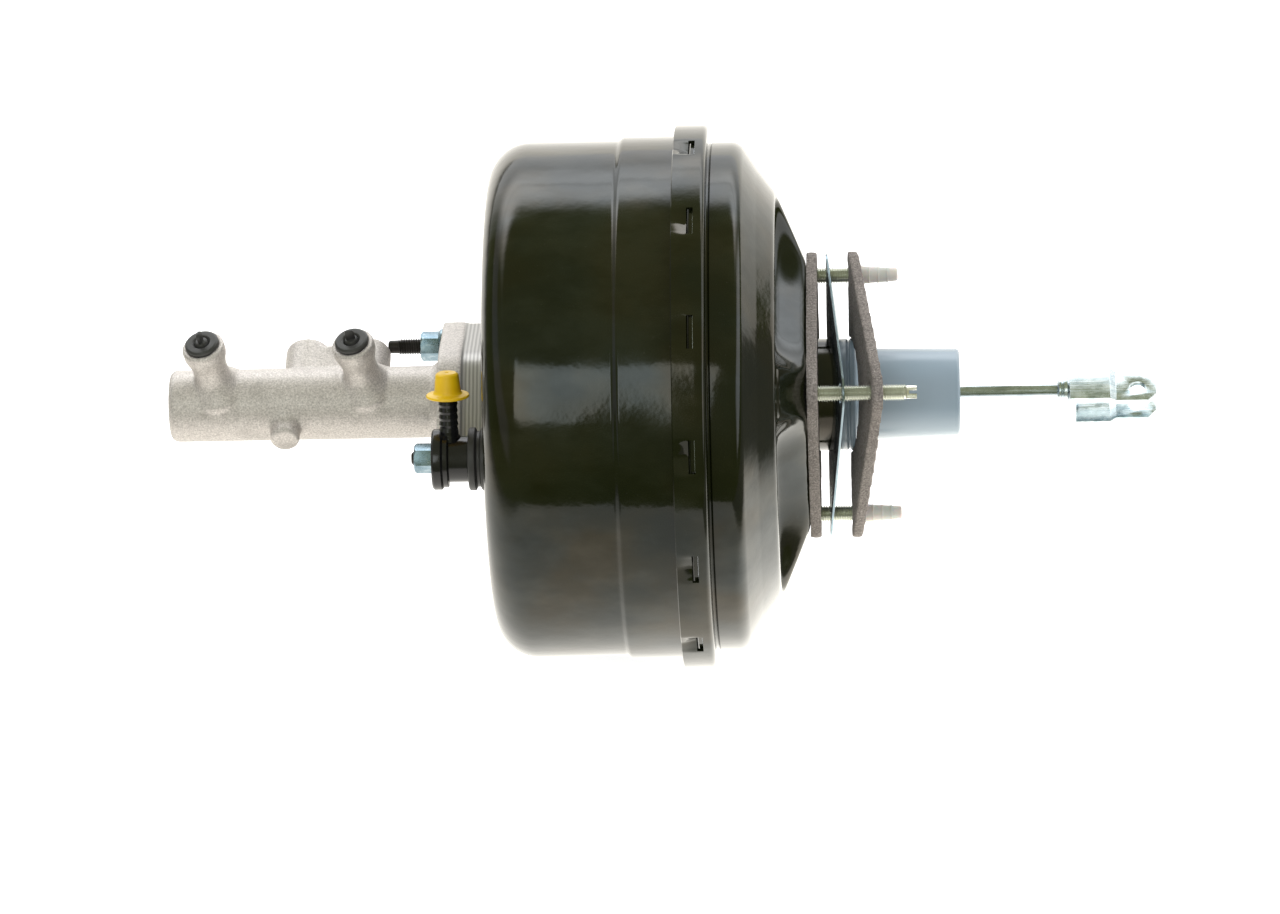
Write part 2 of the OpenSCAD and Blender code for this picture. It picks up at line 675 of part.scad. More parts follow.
// The rubber poppet: seat ring, bellows and rear bead
module poppet() {
    color("#2b2b2b") turned([[7.4, poppet_x], [14.6, poppet_x], [14.6, poppet_x + 1.4], [13, poppet_x + 2],
        [12, poppet_x + 2.6], [12, poppet_x + 10], [chamber_r - 0.1, poppet_x + 11.5],
        [chamber_r - 0.1, poppet_x + 14.8], [11.6, poppet_x + 14.8], [10.5, poppet_x + 12],
        [10.5, poppet_x + 2.2], [7.4, poppet_x + 2.2]]);
}

// The metal cup that holds the poppet's bead
module poppet_retainer() {
    x = retainer_x;
    color("#c9ccd0") turned([[8.6, x], [chamber_r - 0.05, x], [chamber_r - 0.05, x + 9], [chamber_r - 1.2, x + 9],
        [chamber_r - 1.2, x + 1.2], [8.6, x + 1.2]]);
}

module poppet_spring() {
    color("#b0b4b8") coil(9.4, 1.1, poppet_x + 2.3, retainer_x - 0.1, 4);
}

module rod_spring() {
    color("#b0b4b8") coil(9.6, 1.5, retainer_x + 1.3, spring_collar_x - 0.1, 4);
}

// The rubber disc between the valve body and the output rod
module reaction_disc() {
    color("#3a3a3a") rod_x(reaction_r, pocket_floor_x - reaction_t, pocket_floor_x - 0.05);
}

// The output rod: a head in the pocket and a shaft with a round tip in the primary piston's socket
module output_rod() {
    head_x = pocket_floor_x - reaction_t - 0.05;
    tip_x = socket_floor_x + free;
    r = output_d / 2;
    color("#c9ccd0") turned([[0, tip_x], [r - 2.4, tip_x + 0.5], [r - 0.7, tip_x + 2], [r, tip_x + r],
        [r, head_x - 7], [r + 2, head_x - 5], [reaction_r, head_x - 5], [reaction_r, head_x], [0, head_x]]);
}

// The cup that holds the output rod's head and the front support plate, and seats the return spring
module retainer_cup() {
    t = 1.4;
    x = boss_front_x - t;
    color("#9aa0a5") turned([[output_d / 2 + 2.3, x], [boss_r + 0.05 + t, x], [boss_r + 0.05 + t, plate_front_x - t],
        [return_r + 4.5, plate_front_x - t], [return_r + 4.5, plate_front_x], [boss_r + 0.05, plate_front_x],
        [boss_r + 0.05, x + t], [output_d / 2 + 2.3, x + t]]);
}

module return_spring() {
    color("#7c8085") coil(return_r, return_wire_d, front_inner_x + 0.1, plate_front_x - 1.5, 5, 8, 16);
}

// One firewall stud: head inside the shell, thread to its length, plain nose
module firewall_stud(thread_l, nose_l) {
    rod_x(stud_head_d / 2, -sheet - stud_head_t, -sheet);
    rod_x(stud_r + stud_shank, -sheet, 0);
    rod_x(stud_r, 0, thread_l);
    rod_x(dog_r, thread_l, thread_l + nose_l);
}

// Where each capped stud's cap starts: the far stud's cap clears the bow of the outer gasket
function gasket_back(n) = outer_gasket_x + outer_gasket_bend
    + (n * sin(outer_gasket_lean) - outer_gasket_bend + outer_gasket_t) / cos(outer_gasket_lean);
far_stud_l = gasket_back(stud_pitch / sqrt(2) + stud_r + 1.2) + free;

// The four firewall studs; the one nearest the check valve is long and has a slotted dog nose
module firewall_studs() {
    color("#3c3d3a") {
        translate([0, stud_places[0][0], stud_places[0][1]]) difference() {
            firewall_stud(stud_long_l, dog_l);
            for (a = [45, 135]) rotate([a, 0, 0])
                translate([stud_long_l + 1.2, -0.8, -dog_r - 1]) cube([dog_l, 1.6, 2 * dog_r + 2]);
        }
        for (i = [1, 2]) translate([0, stud_places[i][0], stud_places[i][1]])
            firewall_stud(stud_short_l, cap_l - 4);
        translate([0, stud_places[3][0], stud_places[3][1]]) firewall_stud(far_stud_l, cap_l - 4);
    }
}

// One translucent thread cap, closed and rounded at its end
module stud_cap(x) {
    r = cap_d / 2;
    turned([[dog_r + running, x + 0.1], [r, x + 0.1], [r, x + cap_l - 6], [r - 0.7, x + cap_l - 3],
        [r - 1.6, x + cap_l - 0.6], [r - 2.3, x + cap_l], [0, x + cap_l], [0, x + cap_l - 3.9],
        [dog_r + running, x + cap_l - 3.9]]);
}

module stud_caps() {
    color("#dfe3df") {
        for (i = [1, 2]) translate([0, stud_places[i][0], stud_places[i][1]]) stud_cap(stud_short_l);
        translate([0, stud_places[3][0], stud_places[3][1]]) stud_cap(far_stud_l);
    }
}

// Holes of a gasket or plate: four stud holes and the opening round the neck
module gasket_holes() {
    for (p = stud_places) translate([0, p[0], p[1]]) rod_x(stud_r + hole_gap, -1, 80);
    rod_x(neck_r + 0.6, -1, 80);
}

// A sheet bowed about the upper-lower diagonal: a round bend along it and a flat wing at each side,
// cut to the pad outline
module bowed_sheet(x, t, bend, lean, margin) {
    run = 2 * pad_side;
    difference() {
        intersection() {
            along_x(0, 80) rounded_square(pad_side - 2 * margin, pad_corner_r - margin);
            translate([x + bend, 0, 0]) rotate([-45, 0, 0]) translate([0, 0, -pad_side]) {
                rotate([0, 0, 180 - lean]) rotate_extrude(angle = 2 * lean, $fn = 180)
                    translate([bend - t, 0]) square([t, run]);
                for (side = [0, 1]) mirror([0, side, 0]) rotate([0, 0, lean])
                    translate([-bend, -pad_side, 0]) cube([t, pad_side, run]);
            }
        }
        gasket_holes();
    }
}

module pad_gasket() {
    color("#76706b") difference() {
        along_x(0, gasket_t) rounded_square(pad_side, pad_corner_r);
        gasket_holes();
    }
}

module spring_plate() {
    color("#5b676f") bowed_sheet(plate_x, plate_t, plate_bend, plate_lean, plate_margin);
}

module outer_gasket() {
    color("#76706b") bowed_sheet(outer_gasket_x, outer_gasket_t, outer_gasket_bend, outer_gasket_lean, 0);
}

// The dust boot: lip in the neck, flange, tapering body, rounded end with the opening for the rod
module boot() {
    x0 = neck_l + 0.05;
    x1 = neck_l + boot_l;
    outer = arc([boot_end_r - boot_corner_r, x1 - boot_corner_r], boot_corner_r, 0, 90, 5);
    inner = arc([boot_end_r - boot_corner_r, x1 - boot_corner_r], boot_corner_r - boot_wall, 90, 0, 5);
    lip_r = neck_r - sheet - 0.1;
    color("#7a8a94") turned(concat([[lip_r - boot_wall, x0 - 3.5], [lip_r, x0 - 3.5], [lip_r, x0],
        [boot_flange_r - 0.6, x0], [boot_flange_r, x0 + 0.6], [boot_flange_r, x0 + boot_flange_w - 0.8],
        [boot_flange_r - 0.8, x0 + boot_flange_w], [boot_r, x0 + boot_flange_w]], outer,
        [[boot_hole_r, x1], [boot_hole_r, x1 - boot_wall]], inner, [[boot_r - boot_wall, x0 + boot_flange_w - 1],
        [lip_r - boot_wall, x0 + 1.5]]));
}

// The push rod with its ball, spring collar and shaft
module push_rod() {
    color("#aab2b8") {
        translate([ball_x, 0, 0]) sphere(r = ball_r);
        rod_x(rod_r, ball_x, clevis_x + clevis_t + 3);
        turned([[0, spring_collar_x], [10.6, spring_collar_x], [10.6, spring_collar_x + 1.5],
            [rod_r + 1.5, spring_collar_x + 4], [0, spring_collar_x + 4]]);
    }
}

// The collar nut that locks the clevis
module collar_nut() {
    r = collar_d / 2;
    x = collar_x;
    color("#b8c0c4") difference() {
        turned([[0, x], [r - 2, x], [r - 0.6, x + 1], [r - 0.6, x + collar_t * 0.42], [r - 1.6, x + collar_t * 0.5],
            [r - 0.2, x + collar_t * 0.6], [r, x + collar_t - 0.5], [r - 0.5, x + collar_t], [0, x + collar_t]]);
        rod_x(rod_r, x - 1, x + collar_t + 1);
    }
}

// Side view of the clevis: a U of plate whose ears step closer together towards the tips
module clevis_side(grow) {
    wide = clevis_base_gap / 2 + grow;
    narrow = clevis_tip_gap / 2 + grow;
    start = grow > 0 ? 0 : clevis_t;
    polygon([[start, -wide], [clevis_wide_l, -wide], [clevis_wide_l + clevis_joggle_l, -narrow],
        [clevis_l + 1 - sign(grow), -narrow], [clevis_l + 1 - sign(grow), narrow],
        [clevis_wide_l + clevis_joggle_l, narrow], [clevis_wide_l, wide], [start, wide]]);
}

// Top view of the clevis: straight edges that step in a little, chamfered tips
module clevis_top() {
    w = clevis_w / 2;
    v = clevis_tip_w / 2;
    c = ear_chamfer;
    polygon([[0, -w], [clevis_wide_l, -w], [clevis_wide_l + clevis_joggle_l, -v], [clevis_l - c * 0.8, -v],
        [clevis_l, -v + c * 0.9], [clevis_l, v - c], [clevis_l - c * 1.2, v],
        [clevis_wide_l + clevis_joggle_l, v], [clevis_wide_l, w], [0, w]]);
}

module clevis() {
    reach = clevis_base_gap + clevis_t;
    color("#b9c6cb") translate([clevis_x, 0, 0]) difference() {
        translate([0, -clevis_offset, 0]) difference() {
            intersection() {
                translate([0, clevis_w, 0]) rotate([90, 0, 0]) linear_extrude(2 * clevis_w)
                    difference() {
                        clevis_side(clevis_t);
                        clevis_side(0);
                    }
                translate([0, 0, -reach]) linear_extrude(2 * reach) clevis_top();
            }
            translate([clevis_l - pin_from_tip, -pin_offset, -reach]) cylinder(d = pin_hole_d, h = 2 * reach);
        }
        rod_x(rod_r + 0.02, -1, clevis_t + 1);
    }
}

// The flange outline: a middle circle and two ears, joined by tangents
module ear_outline(mid_r, end_r) {
    a = acos((mid_r - end_r) / ear_pitch);
    circle(r = mid_r);
    for (s = [-1, 1]) translate([s * ear_pitch, 0]) circle(r = end_r);
    for (s = [-1, 1]) polygon([[0, 0], mid_r * [s * cos(a), sin(a)],
        [s * (ear_pitch + end_r * cos(a)), end_r * sin(a)], [s * (ear_pitch + end_r * cos(a)), -end_r * sin(a)],
        mid_r * [s * cos(a), -sin(a)]]);
}

// Places its children in the frame of a reservoir neck: its axis is Z, its foot is on the booster axis
module at_port(x) {
    translate([x, 0, 0]) rotate([0, -port_lean, 0]) children();
}

port_l = port_h / cos(port_lean);

// A reservoir neck: flared foot, waist, rim
module port_neck(x) {
    rim = port_rim_r;
    at_port(x) rotate_extrude() polygon([[0, 6], [rim + 5, 6], [rim + 5, 12.5], [rim + 1, 17], [rim - 1.4, 21],
        [rim - 2, 25], [rim - 2, 29], [rim - 1.2, 32.5], [rim, port_l - 6], [rim, port_l - 0.8],
        [rim - 0.8, port_l], [0, port_l]]);
}

// The master cylinder casting with its bore, necks, bosses, flange and pilot
module cylinder_casting() {
    edge = arc([cyl_r - 3.5, cyl_end_x + 3.5], 3.5, -90, 0, 4);
    color("#b7b0a8") difference() {
        union() {
            turned(concat([[0, cyl_end_x]], edge, [[cyl_r, flange_face_x - 4], [cyl_r + 2.5, flange_face_x],
                [cyl_r + 2.5, flange_back_x], [pilot_r, flange_back_x], [pilot_r, pilot_end_x], [0, pilot_end_x]]));
            along_x(flange_face_x, flange_back_x) ear_outline(flange_mid_r, ear_r);
            along_x(flange_back_x, front_face_x) ear_outline(flange_mid_r - 1, ear_r - 0.7);
            for (x = port_x) intersection() {
                port_neck(x);
                translate([x - 40, -40, 0]) cube([80, 80, 60]);
            }
            translate([side_boss_x, 0, 0]) rotate([90, 0, 0]) rotate_extrude()
                polygon([[0, 0], [side_boss_r + 3, 0], [side_boss_r + 3, cyl_r - 4], [side_boss_r, cyl_r + 0.5],
                    [side_boss_r, side_boss_reach - 1.2], [side_boss_r - 1.2, side_boss_reach],
                    [0, side_boss_reach]]);
            for (x = outlet_x) translate([x, 0, 0]) rotate([-90, 0, 0])
                cylinder(r = outlet_boss_r, h = outlet_reach);
            translate([outlet_x[0], 0, -outlet_boss_r + 1.5])
                cube([outlet_x[1] - outlet_x[0], outlet_reach - 4, 2 * outlet_boss_r - 3]);
        }
        rod_x(bore_r, bore_end_x, pilot_end_x + 1);
        rod_x(bore_r + 1.1, circlip_x, circlip_x + circlip_t + 0.1);
        for (s = [-1, 1]) translate([0, s * ear_pitch, 0]) rod_x(stud_r + 0.3, flange_face_x - 1, front_face_x + 1);
        for (x = port_x) at_port(x) {
            translate([0, 0, port_l - 9]) cylinder(r = grommet_r - 0.7, h = 10);
            translate([0, 0, bore_r + 3]) cylinder(r = 3, h = port_l);
            cylinder(r = 0.9, h = port_l);
        }
        for (x = outlet_x) translate([x, 0, 0]) rotate([-90, 0, 0])
            translate([0, 0, cyl_r]) cylinder(r = outlet_hole_r, h = outlet_reach);
        translate([outlet_x[1], 0, 0]) rotate([-90, 0, 0]) cylinder(r = 1.5, h = outlet_reach);
        outlet_passage();
        translate([side_boss_x, 0, 0]) rotate([90, 0, 0]) cylinder(r = 2, h = side_boss_reach - 5);
        ring_x(pilot_r + 1, pilot_r - 2.2, front_face_x + 3, front_face_x + 6.4);
    }
}

// The slanted drilling from the front outlet to the secondary chamber
module outlet_passage() {
    from = [outlet_x[0] - 3, cyl_r + 0.2];
    to = [secondary_front_x - 8, bore_r - 1];
    d = to - from;
    translate([from[0], from[1], 0]) rotate([0, 0, atan2(d[1], d[0])]) rotate([0, 90, 0])
        cylinder(r = 1.3, h = norm(d));
}

// One cylinder stud: head inside the front shell, thread, dog nose
module cylinder_stud(tip_l) {
    tip_x = front_face_x - tip_l;
    rod_x(stud_head_d / 2, front_inner_x, front_inner_x + stud_head_t);
    rod_x(stud_r, tip_x + 5, front_inner_x);
    turned([[0, tip_x], [dog_r - 0.8, tip_x], [dog_r, tip_x + 0.8], [dog_r, tip_x + 5], [0, tip_x + 5]]);
}

module cylinder_studs() {
    color("#2a2827") {
        translate([0, ear_pitch, 0]) cylinder_stud(cyl_stud_a_l);
        translate([0, -ear_pitch, 0]) cylinder_stud(cyl_stud_b_l);
    }
}

// One flange nut: hexagon with chamfered corners on a round flange
module flange_nut() {
    rim = nut_af * 0.67;
    x = flange_face_x;
    difference() {
        intersection() {
            union() {
                translate([x - nut_h, 0, 0]) rotate([0, 90, 0]) rotate(15) cylinder(d = nut_af / cos(30), h = nut_h, $fn = 6);
                turned([[0, x - 2.4], [rim - 1, x - 2.4], [rim, x - 1.2], [rim, x], [0, x]]);
            }
            turned([[0, x - nut_h], [nut_af * 0.49, x - nut_h], [nut_af * 0.6, x - nut_h + 1.4], [rim + 1, x - 2.6],
                [rim + 1, x], [0, x]]);
        }
        rod_x(stud_r, x - nut_h - 1, x + 1);
    }
}

module flange_nuts() {
    color("#6f8794") for (s = [-1, 1]) translate([0, s * ear_pitch, 0]) flange_nut();
}

module cylinder_o_ring() {
    color("#262626") ring_x(pilot_hole_r + 1.4, pilot_r - 2.15, front_face_x + 3.1, front_face_x + 6.3);
}

// One reservoir grommet: flange on the rim, body in the neck, hole for the reservoir's nipple
module grommet() {
    rotate_extrude() polygon([[grommet_hole_r, port_l - 8.5], [grommet_r - 0.75, port_l - 8.5],
        [grommet_r - 0.75, port_l + 0.05], [grommet_r, port_l + 0.05], [grommet_r, port_l + 1.6],
        [grommet_r - 0.9, port_l + 2.4], [grommet_hole_r + 0.8, port_l + 2.4], [grommet_hole_r, port_l + 1.6]]);
}

module reservoir_grommets() {
    color("#3a3a38") for (x = port_x) at_port(x) grommet();
}

// One shipping plug: a stem in the grommet, a small collar and a flat tab to pull it by
module port_plug(turn) {
    rotate(turn) {
        rotate_extrude() polygon([[0, port_l - 6], [grommet_hole_r - 0.75, port_l - 6],
            [grommet_hole_r - 0.05, port_l - 5], [grommet_hole_r - 0.05, port_l + 1.4],
            [grommet_hole_r - 0.9, port_l + 3], [0, port_l + 3.4]]);
        translate([-2.3, -0.8, port_l]) cube([4.6, 1.6, 8.6]);
    }
}

module port_plugs() {
    color("#2f2f2e") {
        at_port(port_x[0]) port_plug(80);
        at_port(port_x[1]) port_plug(10);
    }
}

// Profile points of a piston groove for a cup seal that starts at x and runs towards the pedal
function cup_groove(x) = [[piston_r, x], [cup_root_r, x], [cup_root_r, x + cup_w], [piston_r, x + cup_w]];

// The primary piston with two cup grooves and the socket for the output rod
module primary_piston() {
    f = primary_front_x;
    color("#c2c6ca") difference() {
        turned(concat([[0, f], [piston_r - 3, f], [piston_r - 3, f + 1.5], [piston_r, f + 1.5]],
            [for (at = primary_cup_at) each cup_groove(f + at)],
            [[piston_r, circlip_x - free], [bore_r - 3.2, circlip_x - free], [bore_r - 3.2, primary_rear_x],
            [0, primary_rear_x]]));
        rod_x(output_d / 2 + free, socket_floor_x, primary_rear_x + 1);
    }
}

// One cup seal: a root ring and a lip that leans on the bore
module cup(x) {
    turned([[cup_root_r + 0.02, x + 0.1], [cup_root_r + 1.1, x + 0.1], [cup_root_r + 1.4, x + 2.4],
        [piston_r - 0.7, x + 2.4], [piston_r - 0.5, x + 0.4], [piston_r, x + 0.4], [piston_r, x + cup_w - 0.3],
        [piston_r - 0.6, x + cup_w - 0.1], [cup_root_r + 0.02, x + cup_w - 0.1]]);
}

module primary_cups() {
    color("#262626") for (at = primary_cup_at) cup(primary_front_x + at);
}

module primary_spring() {
    color("#8d9196") coil(7.4, 1.8, secondary_rear_x + 0.1, primary_front_x - 0.1, 5);
}

// The secondary piston with three cup grooves and the slot for the stop pin
module secondary_piston() {
    f = secondary_front_x;
    slot_from = side_boss_x - 2.6;
    color("#c2c6ca") difference() {
        turned(concat([[0, f], [piston_r - 3, f], [piston_r - 3, f + 1.5], [piston_r, f + 1.5]],
            [for (at = secondary_cup_at) each cup_groove(f + at)],
            [[piston_r, secondary_rear_x], [0, secondary_rear_x]]));
        translate([slot_from, -bore_r, -2.6]) cube([stroke / 2 + 5.2, bore_r - 4, 5.2]);
    }
}

module secondary_cups() {
    color("#262626") for (at = secondary_cup_at) cup(secondary_front_x + at);
}

module secondary_spring() {
    color("#8d9196") coil(7.4, 1.6, bore_end_x + 0.1, secondary_front_x - 0.1, 4);
}

// The ring that keeps the primary piston in the bore
module circlip() {
    color("#55585b") difference() {
        ring_x(bore_r + 1, bore_r - 2.6, circlip_x + 0.05, circlip_x + circlip_t);
        translate([circlip_x - 1, -1.5, -bore_r - 3]) cube([circlip_t + 2, 3, 8]);
    }
}

// The pin in the side boss that stops the secondary piston
module stop_pin() {
    color("#c9ccd0") translate([side_boss_x, -bore_r + 3, 0]) rotate([90, 0, 0])
        cylinder(r = 1.98, h = side_boss_reach - 5.2 - bore_r + 3);
}

// Places its children in the check valve's frame
module at_valve() {
    translate([0, valve_y, valve_z]) children();
}

// Places its children so that Z runs along the hose nozzle
module at_nozzle() {
    at_valve() translate([nozzle_x, 0, 0]) rotate([nozzle_angle - 90, 0, 0]) children();
}

// The check valve body: front flange, barrel, hose nozzle, tail through the grommet
module check_valve_body() {
    f = valve_front_x;
    neck = valve_neck_r;
    color("#1c1c1d") difference() {
        union() {
            at_valve() turned([[0, f], [valve_flange_r - 1, f], [valve_flange_r, f + 1],
                [valve_flange_r, f + 4.6], [valve_flange_r - 1.2, f + 5.5], [valve_flange_r - 1.2, f + 8],
                [valve_r, f + 8], [valve_r, valve_grommet_x - 0.05], [neck, valve_grommet_x - 0.05],
                [neck, front_inner_x + 3.5], [neck + 1.4, front_inner_x + 4.5], [neck - 1, front_inner_x + 9],
                [0, front_inner_x + 9]]);
            at_nozzle() rotate_extrude() polygon([[0, 0], [nozzle_r + 0.8, 0], [nozzle_r + 0.8, valve_r + 0.6],
                [nozzle_r, valve_r + 1.4], [nozzle_r, nozzle_l - 2], [nozzle_r - 1, nozzle_l], [0, nozzle_l]]);
        }
        at_valve() {
            rod_x(valve_r - valve_wall, f + valve_seat_t, valve_seat_x);
            rod_x(valve_disc_r - 2.5, valve_seat_x - 1, valve_seat_x + valve_seat_t + 1);
            rod_x(neck - 1.6, valve_seat_x + valve_seat_t, front_inner_x + 10);
        }
        at_nozzle() translate([0, 0, 2]) cylinder(r = nozzle_r - 1.6, h = nozzle_l);
    }
}

// The rubber grommet that holds the check valve in the front face
module check_valve_grommet() {
    x = valve_grommet_x;
    g = valve_grommet_r;
    neck = valve_neck_r;
    color("#202021") at_valve() turned([[neck + 0.02, x], [g - 0.6, x], [g, x + 0.6], [g, x + 3.4], [g - 1.8, x + 4.2],
        [g - 1.8, x + 5.6], [g, x + 6.4], [g, front_face_x], [valve_r + 0.98, front_face_x],
        [valve_r + 0.98, front_inner_x], [valve_r + 2.4, front_inner_x], [valve_r + 1.4, front_inner_x + 3],
        [neck + 0.02, front_inner_x + 3]]);
}

// The disc that lies on the seat and lifts towards the nozzle
module check_valve_disc() {
    color("#3a3a3a") at_valve() rod_x(valve_disc_r, valve_seat_x - valve_disc_t, valve_seat_x - running);
}

// The light spring between the valve's front wall and its disc
module check_valve_spring() {
    color("#b0b4b8") at_valve() coil(valve_disc_r - 2, 0.8, valve_front_x + valve_seat_t + 0.1,
        valve_seat_x - valve_disc_t - 0.1, 4);
}

// The shipping cap on the hose nozzle: a hat with a brim
module hose_cap() {
    base = nozzle_l - hose_cap_h + 2;
    color("#e8c010") at_nozzle() rotate_extrude() polygon([[nozzle_r + 0.05, base], [brim_r - 0.5, base],
        [brim_r, base + 0.6], [brim_r - 0.4, base + 1.4], [nozzle_r + 2.4, base + 1.9], [nozzle_r + 1.8, base + 3],
        [nozzle_r + 0.8, base + hose_cap_h - 0.8], [nozzle_r, base + hose_cap_h], [0, base + hose_cap_h],
        [0, nozzle_l + 0.1], [nozzle_r - 0.95, nozzle_l + 0.1], [nozzle_r + 0.05, nozzle_l - 1.95]]);
}

front_shell();
rear_shell();
divider_plate();
divider_seal();
front_diaphragm();
rear_diaphragm();
front_support_plate();
rear_support_plate();
valve_body();
neck_bearing();
neck_seal();
air_filter();
valve_plunger();
stop_key();
poppet();
poppet_retainer();
poppet_spring();
rod_spring();
reaction_disc();
output_rod();
retainer_cup();
return_spring();
firewall_studs();
stud_caps();
pad_gasket();
spring_plate();
outer_gasket();
boot();
push_rod();
collar_nut();
clevis();
cylinder_casting();
cylinder_studs();
flange_nuts();
cylinder_o_ring();
reservoir_grommets();
port_plugs();
primary_piston();
primary_cups();
primary_spring();
secondary_piston();
secondary_cups();
secondary_spring();
circlip();
stop_pin();
check_valve_body();
check_valve_grommet();
check_valve_disc();
check_valve_spring();
hose_cap();
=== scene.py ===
"""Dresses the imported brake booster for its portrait.

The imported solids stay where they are. The drawn shells, threads, foam, boot, castings and plated parts that
the eye meets are built again with soft edges and real surfaces, and stand for their solids.
"""

import json
import logging
import math
from dataclasses import dataclass, field
from enum import Enum
from typing import Iterable, Sequence

import bmesh
import bpy
from mathutils import Matrix, Vector, noise


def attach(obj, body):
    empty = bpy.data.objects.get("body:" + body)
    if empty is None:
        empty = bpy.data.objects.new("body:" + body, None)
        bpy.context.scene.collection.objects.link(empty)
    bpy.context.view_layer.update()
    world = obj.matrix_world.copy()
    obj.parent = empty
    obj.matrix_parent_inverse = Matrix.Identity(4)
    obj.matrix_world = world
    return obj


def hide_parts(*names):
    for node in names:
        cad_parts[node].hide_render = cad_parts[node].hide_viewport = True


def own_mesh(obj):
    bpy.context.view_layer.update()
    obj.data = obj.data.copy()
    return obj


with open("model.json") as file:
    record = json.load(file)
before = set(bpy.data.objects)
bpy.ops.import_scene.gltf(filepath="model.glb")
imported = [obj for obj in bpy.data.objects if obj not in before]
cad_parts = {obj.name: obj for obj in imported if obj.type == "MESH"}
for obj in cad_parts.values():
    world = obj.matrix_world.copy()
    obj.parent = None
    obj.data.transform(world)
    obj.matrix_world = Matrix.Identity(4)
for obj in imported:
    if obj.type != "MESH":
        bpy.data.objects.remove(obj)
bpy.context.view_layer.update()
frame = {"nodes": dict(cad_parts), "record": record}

log = logging.getLogger("booster")
MM = 0.001

# Short names for the types that the functions take and give
Point = tuple[float, float]
Span = tuple[float, float]
Corner = tuple[float, float, float]
Edges = tuple[float, float, float, float]
Colour = tuple[float, float, float, float]
Shape = bmesh.types.BMesh
Tree = bpy.types.NodeTree
Node = bpy.types.Node
Socket = bpy.types.NodeSocket


class Axis(Enum):
    """The direction in which a drawn surface shows its streaks, as its pattern's scale on each axis."""

    X = (0.03, 1.0, 1.0)
    NONE = (1.0, 1.0, 1.0)


# Places along the booster axis in mm, as in the part's source
FRONT_FACE_X = -156.5
FLANGE_X = -54.9
BAND_REAR_X = -47.3
CONE_X = -31.0
RIDGE_X = -14.4
NECK_X = 16.0

# Takes the Z axis of a turned shape to the axis of the booster
BOOSTER = Matrix(((0, 0, 1, 0), (0, -1, 0, 0), (1, 0, 0, 0), (0, 0, 0, 1)))


# Small tools for shapes

def smooth_step(t: float) -> float:
    """Eases from 0 to 1 as t goes from 0 to 1."""
    t = min(1.0, max(0.0, t))
    return t * t * (3 - 2 * t)


def smooth_min(a: float, b: float, k: float) -> float:
    """The lower of two heights, with the corner between them rounded over k."""
    h = max(k - abs(a - b), 0.0) / k
    return min(a, b) - h * h * k / 4


def at(x: float, y: float = 0.0, z: float = 0.0) -> Matrix:
    """A place in mm as a matrix in metres."""
    return Matrix.Translation(Vector((x, y, z)) * MM)


def softened(corners: Sequence[Corner], closed: bool = True, steps: int = 5) -> list[Point]:
    """Rounds the corners of an outline.

    Args:
        corners: Points as (radius, height, corner radius) in mm.
        closed: Whether the last corner joins the first.
        steps: Segments in each rounded corner.

    Returns:
        The outline's points as (radius, height) in mm.
    """
    out: list[Point] = []
    count = len(corners)
    for i, (r, h, fillet) in enumerate(corners):
        here = Vector((r, h))
        if fillet <= 0 or (not closed and i in (0, count - 1)):
            out.append((r, h))
            continue
        before = Vector(corners[i - 1][:2]) - here
        after = Vector(corners[(i + 1) % count][:2]) - here
        half = before.angle(after) / 2
        cut = min(fillet / math.tan(half), before.length * 0.49, after.length * 0.49)
        centre = here + (before.normalized() + after.normalized()).normalized() * (cut / math.cos(half))
        start = here + before.normalized() * cut - centre
        end = here + after.normalized() * cut - centre
        turn = start.angle_signed(end)
        for k in range(steps + 1):
            spoke = Matrix.Rotation(-turn * k / steps, 2) @ start
            out.append((centre.x + spoke.x, centre.y + spoke.y))
    return out


def spun(points: Sequence[Point], steps: int = 96, closed: bool = True, place: Matrix = BOOSTER,
         start: float = 0.0) -> Shape:
    """Turns an outline about an axis.

    Args:
        points: The outline as (radius, height) in mm.
        steps: Steps round the full turn.
        closed: Whether the outline is closed, as for a solid ring.
        place: The matrix that takes the local Z axis to its place.
        start: The angle in degrees at which the turn starts.

    Returns:
        The turned shape.
    """
    bm = bmesh.new()
    verts = [bm.verts.new((max(r, 0.0) * MM, 0.0, h * MM)) for r, h in points]
    pairs = zip(verts, verts[1:] + (verts[:1] if closed else []))
    edges = [bm.edges.new(p) for p in pairs]
    bmesh.ops.spin(bm, geom=verts + edges, cent=(0, 0, 0), axis=(0, 0, 1), dvec=(0, 0, 0),
                   angle=2 * math.pi, steps=steps, use_merge=True, use_normal_flip=False, use_duplicate=False)
    bmesh.ops.remove_doubles(bm, verts=bm.verts, dist=1e-6)
    bmesh.ops.recalc_face_normals(bm, faces=bm.faces)
    bm.transform(place @ Matrix.Rotation(math.radians(start), 4, "Z"))
    return bm


def face_out(bm: Shape, centre: Vector = Vector()) -> None:
    """Turns the faces of an open shell outwards.

    Args:
        bm: The shell.
        centre: The point in metres that its faces look away from.
    """
    bm.normal_update()
    total = sum((f.calc_center_median() - centre).dot(f.normal) * f.calc_area() for f in bm.faces)
    if total < 0:
        bmesh.ops.reverse_faces(bm, faces=bm.faces)


def joined(parts: Iterable[Shape]) -> Shape:
    """Puts several shapes into one.

    Args:
        parts: The shapes, which are freed.

    Returns:
        The joined shape.
    """
    whole = bmesh.new()
    for part in parts:
        held = bpy.data.meshes.new("part")
        part.to_mesh(held)
        part.free()
        whole.from_mesh(held)
        bpy.data.meshes.remove(held)
    return whole


